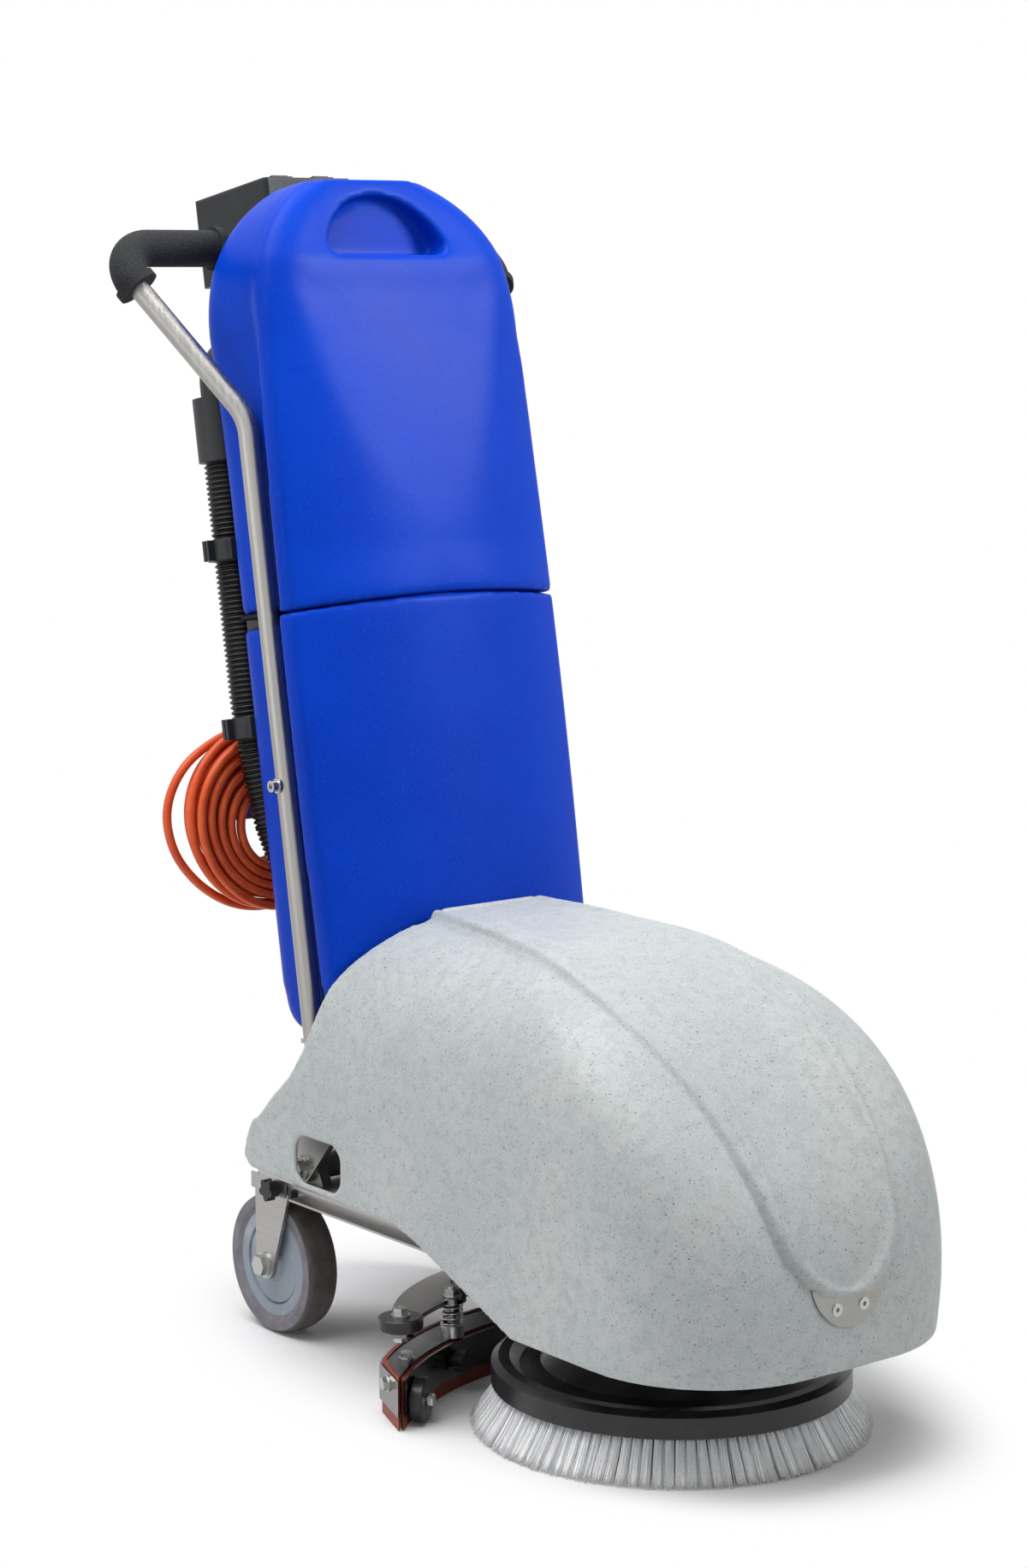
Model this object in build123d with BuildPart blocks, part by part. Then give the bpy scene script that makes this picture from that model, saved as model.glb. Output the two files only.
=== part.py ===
"""Walk-behind scrubber dryer: brush deck, leaning twin-tank column, squeegee and cable.

The origin lies on the floor under the middle of the machine, front towards -Y, +Z up, in mm.
"""
import os
from math import cos, dist, radians, sin, sqrt

from build123d import *

os.makedirs("parts", exist_ok=True)

# Stance: brush axis, wheels and the lean of the column
BRUSH_Y = -204.18
WHEELBASE = 397.0
LEAN = 10.0
COLUMN_RUN = 262.0
FIT = 0.05
RUN_GAP = 0.4
SEAT = 0.1

# Wheels, forks and axles
WHEEL_D = 125.0
WHEEL_W = 30.0
WHEEL_X = 110.5
TYRE_INNER_D = 94.0
HUB_GROOVE_D = 73.0
AXLE_D = 10.0
FORK_T = 3.0
FORK_TOP = 52.0
FORK_FOOT_R = 13.0

# Deck of the chassis and its rails
DECK_Z = 146.0
DECK_T = 3.0
DECK_HALF = 135.0
DECK_FRONT = -118.0
DECK_REAR = 413.0
RAIL_H = 16.0
RAIL_LIP = 12.0
RAIL_FRONT = 100.0

# Brush
BRUSH_D = 294.0
BRISTLE_D = 330.0
BRISTLE_H = 35.0
RIM_H = 21.0
BACKING_T = 3.0
HUB_D = 96.0
SHAFT_D = 20.0

# Cover
COVER_HALF = 160.0
COVER_FRONT = 210.0
COVER_BOTTOM = 97.0
COVER_TOP = 392.0
COVER_WALL = 5.0
COVER_SIDE_Z = 160.0
NOSE_RUN = 345.0
NOSE_LEAN = 5.0
COVER_BULGE = 8.0
COVER_ROUND = 116.0
TOP_ROUND = 34.0
BAND_RISE = 6.0
BAND_HALF = 60.0
WINDOW_Y = 274.0
WINDOW_Z = 183.0
WINDOW_L = 66.0
WINDOW_H = 41.0
PLATE_T = 1.5
PLATE_HALF = 37.0
PLATE_TOP = 165.0
PLATE_LOW = 132.0
SCREW_X = 14.0
SCREW_Z = 147.0
SCREW_D = 5.0

# Column pivot
PIVOT_Y = 345.0
PIVOT_Z = 160.0
PIVOT_D = 10.0
LUG_T = 10.0
FOOT_T = 6.0

# Handle tube, grips and control box, measured along the column
TUBE_D = 18.0
TUBE_WALL = 1.5
TUBE_X = 135.0
TUBE_LOW = 205.0
BEND_W = 817.0
BAR_X = 208.0
BAR_V = 79.0
BAR_W = 975.0
GRIP_D = 32.0
GRIP_FLANGE_D = 38.0
GRIP_INNER_X = 93.0
BOX_HALF = 46.0
BOX_FRONT = 65.0
BOX_REAR = 182.0
BOX_LOW = 957.0
BOX_HIGH = 1036.0
BOX_WALL = 2.0

# Tanks, in column coordinates: x across, v back, w up the column
TANK_LOW = 285.0
TANK_HALF = 142.5
TANK_REAR_HALF = 124.0
TANK_FRONT = -75.0
TANK_CORNER = -42.0
TANK_STEP = -24.0
TANK_REAR = 76.0
TANK_WALL = 5.0
SEAM_W = 644.0
SEAM_RISE = 7.0
SEAM_GAP = 4.0
REAR_SEAM_LOW = 639.0
REAR_SEAM_HIGH = 652.0
DOME_W = 915.0
DOME_V = 12.0
POCKET_W = 948.0
POCKET_HALF = 64.0
POCKET_H = 54.0
POCKET_BACK = 20.0
FILLER_X = 40.0
FILLER_W = 590.0
FILLER_D = 68.0
LID_X = 28.0
LID_W = 770.0
LID_D = 124.0
ELBOW_W = 880.0
SPIGOT_D = 28.0
SCREW_W = 503.0
TUBE_SCREW_D = 6.0

# Suction hose
HOSE_D = 36.0
HOSE_BORE = 27.0
HOSE_X = -98.0
HOSE_V = 99.0
HOSE_TOP = 805.0
RIB_PITCH = 9.0
RIB_H = 2.2

# Squeegee and its carrier, measured from the brush axis
SQ_HALF = 188.0
SQ_TAPER = 18.0
SQ_FRONT = 190.0
SQ_REAR = 223.0
SQ_FRONT_R = 280.0
SQ_REAR_R = 262.0
SQ_TOP = 44.0
SQ_LOW = 13.0
BLADE_T = 3.5
STRIP_T = 2.0
STRIP_Z = 12.0
NIPPLE_D = HOSE_BORE - 2 * RUN_GAP
CARRIER_Z = 74.0
CARRIER_T = 4.0
CARRIER_APEX = 250.0
CARRIER_R = 196.0
CARRIER_INNER_APEX = 190.0
CARRIER_INNER_R = 290.0
STUD_X = 88.0
STUD_Y = 180.0
STUD_D = 8.0
STUD_INSET = 2.0
SPRING_D = 19.0
SPRING_WIRE = 2.0
SPRING_TURNS = 5
ROLLER_D = 37.0
ROLLER_W = 11.0
ROLLER_X = 177.0
ROLLER_Y = 131.0

# Mains cable
CORD_D = 8.0
CORD_PITCH = 10.0
COIL_X = -62.0
COIL_Y = 490.0
COIL_Z = 438.0
COIL_R = 82.0
COIL_TURNS = 5
COIL_LAYERS = 4

AXLE_Y = BRUSH_Y + WHEELBASE
AXLE_Z = WHEEL_D / 2
BACK = (0, cos(radians(LEAN)), -sin(radians(LEAN)))
UP = (0, sin(radians(LEAN)), cos(radians(LEAN)))
ROOT = Vector(0, BRUSH_Y + COLUMN_RUN, 0)
COLUMN = Plane(origin=ROOT, x_dir=(1, 0, 0), z_dir=UP)
SIDE = Plane(origin=ROOT, x_dir=BACK, z_dir=(1, 0, 0))
FACE = Plane(origin=ROOT, x_dir=(1, 0, 0), z_dir=-Vector(BACK))


def on_column(x, v, w):
    """Point of the leaning column in the shared frame."""
    return COLUMN.from_local_coords(Vector(x, v, w))


def finish(piece, name):
    """Label a finished piece and write its file."""
    piece.part.label = name
    export_step(piece.part, f"parts/{name}.step")


def across(x, y, z):
    """Plane whose first axis runs along X and whose second runs up."""
    return Plane(origin=(x, y, z), x_dir=(1, 0, 0), z_dir=(0, -1, 0))


def cover_rise(z):
    """Share of the cover's height reached at a level, none below its edge."""
    return max((z - COVER_BOTTOM) / (COVER_TOP - COVER_BOTTOM), 0.0)


def cover_nose(z):
    """Place of the cover's front on its middle line at one height, from the brush axis."""
    rise = cover_rise(z)
    return NOSE_RUN - COVER_FRONT - NOSE_LEAN * rise - NOSE_RUN * (1 - rise ** 2.2) ** 0.54


# Wheels: tyre and hub turn on an axle bolt held by a folded fork
WHEEL_GAP = WHEEL_W + 5.0
for side, tag in ((-1, "left"), (1, "right")):
    centre = (side * WHEEL_X, AXLE_Y, AXLE_Z)
    spin = Axis(centre, (1, 0, 0))
    with BuildPart() as tyre:
        with BuildSketch(across(*centre)):
            with BuildLine():
                Polyline(
                    (-WHEEL_W / 2 + 2.5, TYRE_INNER_D / 2),
                    (-WHEEL_W / 2, TYRE_INNER_D / 2 + 5),
                    (-WHEEL_W / 2, WHEEL_D / 2 - 2.5),
                    (-WHEEL_W / 2 + 5, WHEEL_D / 2 - 0.6),
                    (-WHEEL_W / 2 + 9, WHEEL_D / 2),
                    (WHEEL_W / 2 - 9, WHEEL_D / 2),
                    (WHEEL_W / 2 - 5, WHEEL_D / 2 - 0.6),
                    (WHEEL_W / 2, WHEEL_D / 2 - 2.5),
                    (WHEEL_W / 2, TYRE_INNER_D / 2 + 5),
                    (WHEEL_W / 2 - 2.5, TYRE_INNER_D / 2),
                    close=True,
                )
            make_face()
        revolve(axis=spin)
    finish(tyre, f"tyre_{tag}")

    with BuildPart() as hub:
        with BuildSketch(across(*centre)):
            with BuildLine():
                Polyline(
                    (-WHEEL_GAP / 2 + 1, AXLE_D / 2 + FIT),
                    (WHEEL_GAP / 2 - 1, AXLE_D / 2 + FIT),
                    (WHEEL_GAP / 2 - 1, 14),
                    (WHEEL_W / 2 - 3, 17),
                    (WHEEL_W / 2 - 4, HUB_GROOVE_D / 2 - 1),
                    (WHEEL_W / 2 - 6, HUB_GROOVE_D / 2),
                    (WHEEL_W / 2 - 2.5, HUB_GROOVE_D / 2 + 1),
                    (WHEEL_W / 2 - 2.5, TYRE_INNER_D / 2),
                    (-WHEEL_W / 2 + 2.5, TYRE_INNER_D / 2),
                    (-WHEEL_W / 2 + 2.5, HUB_GROOVE_D / 2 + 1),
                    (-WHEEL_W / 2 + 6, HUB_GROOVE_D / 2),
                    (-WHEEL_W / 2 + 4, HUB_GROOVE_D / 2 - 1),
                    (-WHEEL_W / 2 + 3, 17),
                    (-WHEEL_GAP / 2 + 1, 14),
                    close=True,
                )
            make_face()
        revolve(axis=spin)
    finish(hub, f"wheel_hub_{tag}")

FORK_CENTRE = AXLE_Y - 12.0
FORK_Z = DECK_Z - DECK_T
with BuildPart() as forks:
    for side in (-1, 1):
        for plate in (-1, 1):
            inner = side * WHEEL_X + plate * WHEEL_GAP / 2
            with BuildSketch(Plane.YZ.offset(inner)):
                with BuildLine():
                    Polyline(
                        (AXLE_Y + FORK_FOOT_R, AXLE_Z),
                        (FORK_CENTRE + FORK_TOP / 2, FORK_Z - 10),
                        (FORK_CENTRE + FORK_TOP / 2, FORK_Z),
                        (FORK_CENTRE - FORK_TOP / 2, FORK_Z),
                        (FORK_CENTRE - FORK_TOP / 2, FORK_Z - 10),
                        (AXLE_Y - FORK_FOOT_R, AXLE_Z),
                    )
                    RadiusArc(
                        (AXLE_Y - FORK_FOOT_R, AXLE_Z),
                        (AXLE_Y + FORK_FOOT_R, AXLE_Z),
                        -FORK_FOOT_R,
                    )
                make_face()
                with Locations((AXLE_Y, AXLE_Z)):
                    Circle(AXLE_D / 2, mode=Mode.SUBTRACT)
            extrude(amount=plate * FORK_T)
        with Locations((side * WHEEL_X, FORK_CENTRE, FORK_Z - FORK_T / 2)):
            Box(WHEEL_GAP, FORK_TOP, FORK_T)
finish(forks, "forks")

with BuildPart() as axles:
    for side in (-1, 1):
        outer = side * (WHEEL_X + WHEEL_GAP / 2 + FORK_T)
        inner = side * (WHEEL_X - WHEEL_GAP / 2 - FORK_T)
        with BuildSketch(Plane.YZ.offset(outer)):
            with Locations((AXLE_Y, AXLE_Z)):
                Circle(AXLE_D / 2)
        extrude(amount=-side * (abs(outer - inner) + 4))
        with BuildSketch(Plane.YZ.offset(outer)):
            with Locations((AXLE_Y, AXLE_Z)):
                Circle(11)
        extrude(amount=side * 2)
        with BuildSketch(Plane.YZ.offset(outer + side * 2)):
            with Locations((AXLE_Y, AXLE_Z)):
                RegularPolygon(9.5, 6)
        extrude(amount=side * 6)
        with BuildSketch(Plane.YZ.offset(inner)):
            with Locations((AXLE_Y, AXLE_Z)):
                RegularPolygon(9.5, 6)
        extrude(amount=-side * 7)
finish(axles, "axles")

# Chassis: folded deck plate with side rails, open for the drive and the hose
PORT_Y = BRUSH_Y + (SQ_FRONT + SQ_REAR) / 2
KNOB_D = 6.0
RAIL_KNOB_D = 20.0
KNOB_Y = 370.0
KNOB_Z = DECK_Z - 8
EAR_Y = 50.0
EAR_L = 40.0
EAR_H = 34.0
TONGUE_EASE = 1.6
TONGUE_Y = BRUSH_Y + cover_nose(SCREW_Z + 12) + COVER_WALL + TONGUE_EASE + SEAT
with BuildPart() as chassis:
    with BuildSketch(Plane.XY.offset(DECK_Z)) as deck_plan:
        with BuildLine():
            Polyline(
                (-DECK_HALF, BRUSH_Y + DECK_REAR),
                (-DECK_HALF, BRUSH_Y + 20),
                (-DECK_HALF + 45, BRUSH_Y + DECK_FRONT),
                (DECK_HALF - 45, BRUSH_Y + DECK_FRONT),
                (DECK_HALF, BRUSH_Y + 20),
                (DECK_HALF, BRUSH_Y + DECK_REAR),
                close=True,
            )
        make_face()
        fillet(deck_plan.vertices().group_by(Axis.Y)[-1], 18)
        with Locations((0, BRUSH_Y)):
            Circle(45, mode=Mode.SUBTRACT)
        with Locations((0, PORT_Y)):
            Circle(HOSE_D / 2 + 10, mode=Mode.SUBTRACT)
    extrude(amount=-DECK_T)
    for side in (-1, 1):
        with BuildSketch(Plane.XZ.offset(-BRUSH_Y - RAIL_FRONT)):
            with BuildLine():
                Polyline(
                    (side * (DECK_HALF - RAIL_LIP), DECK_Z - 1),
                    (side * (DECK_HALF - RAIL_LIP), DECK_Z - RAIL_H),
                    (side * DECK_HALF, DECK_Z - RAIL_H),
                    (side * DECK_HALF, DECK_Z - RAIL_H + 2),
                    (side * (DECK_HALF - RAIL_LIP + 2), DECK_Z - RAIL_H + 2),
                    (side * (DECK_HALF - RAIL_LIP + 2), DECK_Z - 1),
                    close=True,
                )
            make_face()
        extrude(amount=-(FORK_CENTRE - FORK_TOP / 2 - 6 - BRUSH_Y - RAIL_FRONT))
        with Locations((side * (DECK_HALF - 1), FORK_CENTRE, KNOB_Z)):
            Box(2, FORK_TOP, 14)
        ear = COVER_HALF - COVER_WALL - 2 * SEAT
        with BuildSketch(Plane.XZ.offset(-BRUSH_Y - EAR_Y)):
            with BuildLine():
                Polyline(
                    (side * (DECK_HALF - 5), DECK_Z - DECK_T),
                    (side * ear, DECK_Z - DECK_T),
                    (side * ear, DECK_Z + EAR_H),
                    (side * (ear - DECK_T), DECK_Z + EAR_H),
                    (side * (ear - DECK_T), DECK_Z),
                    (side * (DECK_HALF - 5), DECK_Z),
                    close=True,
                )
            make_face()
        extrude(amount=-EAR_L)
    with BuildSketch(Plane.YZ):
        with BuildLine():
            Polyline(
                (BRUSH_Y + DECK_FRONT + 5, DECK_Z - DECK_T),
                (TONGUE_Y + DECK_T, DECK_Z - DECK_T),
                (TONGUE_Y + DECK_T, DECK_Z),
                (BRUSH_Y + DECK_FRONT + 5, DECK_Z),
                close=True,
            )
        make_face()
    extrude(amount=SCREW_X + 10, both=True)
    with BuildSketch(Plane.XZ.offset(-TONGUE_Y)):
        with Locations((0, SCREW_Z)):
            Rectangle(2 * SCREW_X + 20, 24)
        with Locations((-SCREW_X, SCREW_Z), (SCREW_X, SCREW_Z)):
            Circle(SCREW_D / 2, mode=Mode.SUBTRACT)
    extrude(amount=-DECK_T)
    with BuildSketch(Plane.YZ):
        with Locations((BRUSH_Y + KNOB_Y, KNOB_Z)):
            Circle(KNOB_D / 2 + FIT)
    extrude(amount=DECK_HALF + 1, both=True, mode=Mode.SUBTRACT)
finish(chassis, "chassis")

# Brush: moulded block, tufts, drive coupling and shaft
BLOCK_Z = BRISTLE_H
SPINDLE = Axis((0, BRUSH_Y, 0), (0, 0, 1))
with BuildPart() as block:
    with BuildSketch(across(0, BRUSH_Y, 0)):
        with BuildLine():
            Polyline(
                (HUB_D / 2, BLOCK_Z),
                (BRUSH_D / 2, BLOCK_Z),
                (BRUSH_D / 2, BLOCK_Z + RIM_H - 4),
                (BRUSH_D / 2 - 6, BLOCK_Z + RIM_H),
                (BRUSH_D / 2 - 15, BLOCK_Z + RIM_H),
                (BRUSH_D / 2 - 23, BLOCK_Z + RIM_H - 7),
                (BRUSH_D / 2 - 40, BLOCK_Z + RIM_H - 3),
                (BRUSH_D / 2 - 52, BLOCK_Z + RIM_H + 8),
                (HUB_D / 2, BLOCK_Z + RIM_H + 8),
                close=True,
            )
        make_face()
    revolve(axis=SPINDLE)
finish(block, "brush_block")

TUFT_ROWS = ((-9.0, 88, 24.0, 4.6, 7.4), (-24.0, 72, 13.0, 5.0, 7.0), (-39.0, 62, 6.0, 5.0, 6.0),
             (-55.0, 50, 2.0, 5.0, 5.5), (-71.0, 40, 0.0, 5.0, 5.0))
with BuildPart() as bristles:
    with BuildSketch(Plane.XY.offset(BLOCK_Z - BACKING_T)):
        with Locations((0, BRUSH_Y)):
            Circle(BRUSH_D / 2 - 3)
            Circle(HUB_D / 2 + 14, mode=Mode.SUBTRACT)
    extrude(amount=BACKING_T)
    tufts = []
    for inset, count, flare, root, tip in TUFT_ROWS:
        ring = BRUSH_D / 2 + inset
        with BuildPart(mode=Mode.PRIVATE) as tuft:
            with BuildSketch(Plane.XY.offset(BLOCK_Z - BACKING_T + 1)):
                with Locations((ring, 0)):
                    Rectangle(root, root)
            with BuildSketch(Plane.XY):
                with Locations((ring + flare, 0)):
                    Rectangle(tip, tip)
            loft(ruled=True)
        turn = 360 / count
        for step in range(count):
            tufts.append(tuft.part.moved(Location((0, BRUSH_Y, 0), (0, 0, step * turn))))
    add(tufts)
finish(bristles, "bristles")

COUPLING_Z = BLOCK_Z + RIM_H + 8
with BuildPart() as coupling:
    with BuildSketch(across(0, BRUSH_Y, 0)):
        with BuildLine():
            Polyline(
                (SHAFT_D / 2, BLOCK_Z + 6),
                (HUB_D / 2, BLOCK_Z + 6),
                (HUB_D / 2, COUPLING_Z),
                (HUB_D / 2 + 14, COUPLING_Z),
                (HUB_D / 2 + 14, COUPLING_Z + 8),
                (SHAFT_D, COUPLING_Z + 14),
                (SHAFT_D, COUPLING_Z + 34),
                (SHAFT_D / 2, COUPLING_Z + 34),
                close=True,
            )
        make_face()
    revolve(axis=SPINDLE)
finish(coupling, "drive_coupling")

GEARBOX_Z = DECK_Z - 22.0
with BuildPart() as shaft:
    with BuildSketch(Plane.XY.offset(BLOCK_Z + 6)):
        with Locations((0, BRUSH_Y)):
            Circle(SHAFT_D / 2)
    extrude(amount=DECK_Z + 20 - BLOCK_Z - 6)
finish(shaft, "drive_shaft")

MOTOR_D = 132.0
with BuildPart() as gearbox:
    with BuildSketch(Plane.XY.offset(DECK_Z)):
        with Locations((0, BRUSH_Y)):
            Circle(78)
    extrude(amount=34)
    fillet(gearbox.edges().group_by(Axis.Z)[-1], 6)
    with BuildSketch(Plane.XY.offset(GEARBOX_Z)):
        with Locations((0, BRUSH_Y)):
            Circle(44)
    extrude(amount=DECK_Z - GEARBOX_Z)
    with BuildSketch(Plane.XY.offset(GEARBOX_Z)):
        with Locations((0, BRUSH_Y)):
            Circle(SHAFT_D / 2 + FIT)
    extrude(amount=DECK_Z + 21 - GEARBOX_Z, mode=Mode.SUBTRACT)
finish(gearbox, "brush_gearbox")

MOTOR_Z = DECK_Z + 34.0
with BuildPart() as motor:
    with BuildSketch(Plane.XY.offset(MOTOR_Z)):
        with Locations((0, BRUSH_Y)):
            Circle(MOTOR_D / 2)
            with PolarLocations(MOTOR_D / 2 + 1, 18):
                Rectangle(6, 4)
    extrude(amount=92)
    with BuildSketch(Plane.XY.offset(MOTOR_Z + 92)):
        with Locations((0, BRUSH_Y)):
            Circle(MOTOR_D / 2 + 2)
    extrude(amount=34)
    fillet(motor.edges().group_by(Axis.Z)[-1], 10)
finish(motor, "brush_motor")

VAC_X = -72.0
VAC_Y = BRUSH_Y + 148.0
with BuildPart() as vacuum:
    with BuildSketch(Plane.XY.offset(DECK_Z)):
        with Locations((VAC_X, VAC_Y)):
            Circle(60)
    extrude(amount=58)
    fillet(vacuum.edges().group_by(Axis.Z)[-1], 8)
    with BuildSketch(Plane.XY.offset(DECK_Z + 58)):
        with Locations((VAC_X, VAC_Y)):
            Circle(40)
    extrude(amount=40)
    fillet(vacuum.edges().group_by(Axis.Z)[-1], 6)
finish(vacuum, "vacuum_motor")

with BuildPart() as valve:
    with Locations((70, VAC_Y - 10, DECK_Z + 16)):
        Box(34, 44, 32)
    with BuildSketch(Plane.XY.offset(DECK_Z + 32)):
        with Locations((70, VAC_Y - 10)):
            Circle(14)
    extrude(amount=36)
    with BuildSketch(Plane.XZ.offset(-VAC_Y - 12)):
        with Locations((70, DECK_Z + 16)):
            Circle(8)
    extrude(amount=-26)
finish(valve, "water_valve")


# Cover: one moulded shell with round shoulders and a raised band down its middle


def cover_plan(z, skin=0.0):
    """Outline of the cover at one height, pulled in by the skin."""
    rise = cover_rise(z)
    half = COVER_HALF * (1 - rise ** 7) ** (1 / 2.2) - skin
    nose = cover_nose(z) + skin
    bulge = COVER_BULGE * (1 - rise) + 3
    corner = COVER_ROUND + (TOP_ROUND - COVER_ROUND) * rise
    with BuildSketch(Plane.XY.offset(z - skin)) as plan:
        with BuildLine():
            left = (-half, BRUSH_Y + nose + bulge)
            right = (half, BRUSH_Y + nose + bulge)
            ThreePointArc(left, (0, BRUSH_Y + nose), right)
            Polyline(right, (half, BRUSH_Y + 460), (-half, BRUSH_Y + 460), left)
        make_face()
        fillet(plan.vertices().group_by(Axis.Y)[0], corner)
    return plan.sketch


def cover_sections(skin):
    """Outlines from below the cover's edge to its top, pulled in by the skin."""
    parts_of_height = (-0.25, 0.0, 0.2, 0.4, 0.56, 0.68, 0.78, 0.86, 0.92, 0.96, 0.985)
    tall = COVER_TOP - COVER_BOTTOM
    return [cover_plan(COVER_BOTTOM + part * tall, skin) for part in parts_of_height]


with BuildPart() as band:
    loft(sections=cover_sections(-BAND_RISE))
    with BuildSketch(Plane.XZ.offset(-BRUSH_Y)):
        with BuildLine():
            foot = COVER_BOTTOM + 58
            low = Spline(
                (-BAND_HALF, COVER_BOTTOM + 160),
                (-BAND_HALF + 13, foot + 28),
                (0, foot),
                (BAND_HALF - 13, foot + 28),
                (BAND_HALF, COVER_BOTTOM + 160),
                tangents=[(0.12, -1), (0.12, 1)],
            )
            Polyline(
                low @ 1,
                (BAND_HALF + 2, COVER_TOP + 40),
                (-BAND_HALF - 2, COVER_TOP + 40),
                low @ 0,
            )
        make_face()
    extrude(amount=480, both=True, mode=Mode.INTERSECT)

REAR_EDGE = ((246, 402), (249, 382), (262, 357), (275, 335), (284, 310), (298, 277), (316, 252),
             (344, 227), (366, 206), (383, 182))
SCREW_SEAT = BRUSH_Y + cover_nose(SCREW_Z) + 1.5
SCREW_HEAD = PLATE_T + 2.2
with BuildPart() as cover_form:
    loft(sections=cover_sections(0))
with BuildPart() as cover:
    add(cover_form.part)
    add(band.part)
    loft(sections=cover_sections(COVER_WALL), mode=Mode.SUBTRACT)
    with BuildSketch(Plane.YZ):
        with BuildLine():
            edge = Spline(*[(BRUSH_Y + y, z) for y, z in REAR_EDGE], tangents=[(0.1, -1), (0.4, -1)])
            Polyline(
                edge @ 1,
                (BRUSH_Y + 386, COVER_SIDE_Z + 8),
                (BRUSH_Y + 376, COVER_SIDE_Z),
                (BRUSH_Y + 160, COVER_SIDE_Z - 6),
                (BRUSH_Y + 135, COVER_SIDE_Z - 13),
                (BRUSH_Y + 8, COVER_BOTTOM),
                (BRUSH_Y - 300, COVER_BOTTOM),
                (BRUSH_Y - 300, COVER_TOP + 60),
                (BRUSH_Y + 246, COVER_TOP + 60),
                edge @ 0,
            )
        make_face()
    extrude(amount=COVER_HALF + 40, both=True, mode=Mode.INTERSECT)
    with BuildSketch(Plane.YZ):
        with Locations((BRUSH_Y + WINDOW_Y, WINDOW_Z)):
            RectangleRounded(WINDOW_L, WINDOW_H, WINDOW_H * 0.36)
    extrude(amount=COVER_HALF + 40, both=True, mode=Mode.SUBTRACT)
    with BuildSketch(Plane.XZ.offset(-BRUSH_Y)):
        with Locations((-SCREW_X, SCREW_Z), (SCREW_X, SCREW_Z)):
            Circle(SCREW_D / 2)
    extrude(amount=COVER_FRONT + 40, mode=Mode.SUBTRACT)
    with BuildSketch(Plane.XZ.offset(-SCREW_SEAT)):
        with Locations((-SCREW_X, SCREW_Z), (SCREW_X, SCREW_Z)):
            Circle(SCREW_D)
    extrude(amount=40, mode=Mode.SUBTRACT)
finish(cover, "cover")

# Holding plate under the band's foot, with two countersunk screws
with BuildPart() as bracket:
    loft(sections=cover_sections(-PLATE_T))
    with BuildSketch(Plane.XZ.offset(-BRUSH_Y)):
        with BuildLine():
            tip = (PLATE_HALF, PLATE_TOP)
            ThreePointArc(tip, (0, PLATE_LOW), (-PLATE_HALF, PLATE_TOP))
            Line((-PLATE_HALF, PLATE_TOP), tip)
        make_face()
        with Locations((-SCREW_X, SCREW_Z), (SCREW_X, SCREW_Z)):
            Circle(SCREW_D, mode=Mode.SUBTRACT)
    extrude(amount=COVER_FRONT + 40, mode=Mode.INTERSECT)
    add(cover_form.part, mode=Mode.SUBTRACT)
    add(band.part, mode=Mode.SUBTRACT)
finish(bracket, "cover_plate")

with BuildPart() as cover_screws:
    for x in (-SCREW_X, SCREW_X):
        with BuildSketch(Plane.XZ.offset(-SCREW_SEAT)):
            with Locations((x, SCREW_Z)):
                Circle(SCREW_D / 2)
        extrude(amount=SCREW_SEAT - TONGUE_Y - DECK_T)
        with BuildSketch(Plane.XZ.offset(-SCREW_SEAT)):
            with Locations((x, SCREW_Z)):
                Circle(SCREW_D)
        extrude(amount=SCREW_HEAD)
        with BuildSketch(Plane.XZ.offset(-SCREW_SEAT + SCREW_HEAD)):
            with Locations((x, SCREW_Z)):
                RegularPolygon(2, 6)
        extrude(amount=-2.5, mode=Mode.SUBTRACT)
finish(cover_screws, "cover_screws")


# Tanks: one column form, split at the seam into a recovery tank over a solution tank
BARREL_W = 540.0
BARREL = 10.0
DOME_H = 116.0
BACK_W = 840.0
BACK_H = 190.0
FOOT_ROUND = 12.0
HEEL_ROUND = 46.0
CREASE_LOW = 700.0
CREASE_HIGH = 846.0
FACET_W = 879.0
BROW_W = 945.0
TANK_TOP = 1017.0
FACETS = (
    (TANK_LOW, 4, TANK_FRONT),
    (CREASE_LOW, 4, TANK_FRONT),
    (CREASE_HIGH, 112, TANK_FRONT + 9),
    (FACET_W, 42, TANK_FRONT + 13),
    (BROW_W, 92, TANK_FRONT + 25),
    (TANK_TOP, 40, TANK_FRONT + 49),
)
SIDE_BOW = 0.073


def tank_face(w):
    """Half width and place of the flat part of the tanks' front at one height."""
    for (low, flat, place), (high, next_flat, next_place) in zip(FACETS, FACETS[1:]):
        if w <= high:
            share = (w - low) / (high - low)
            return flat + (next_flat - flat) * share, place + (next_place - place) * share


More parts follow.
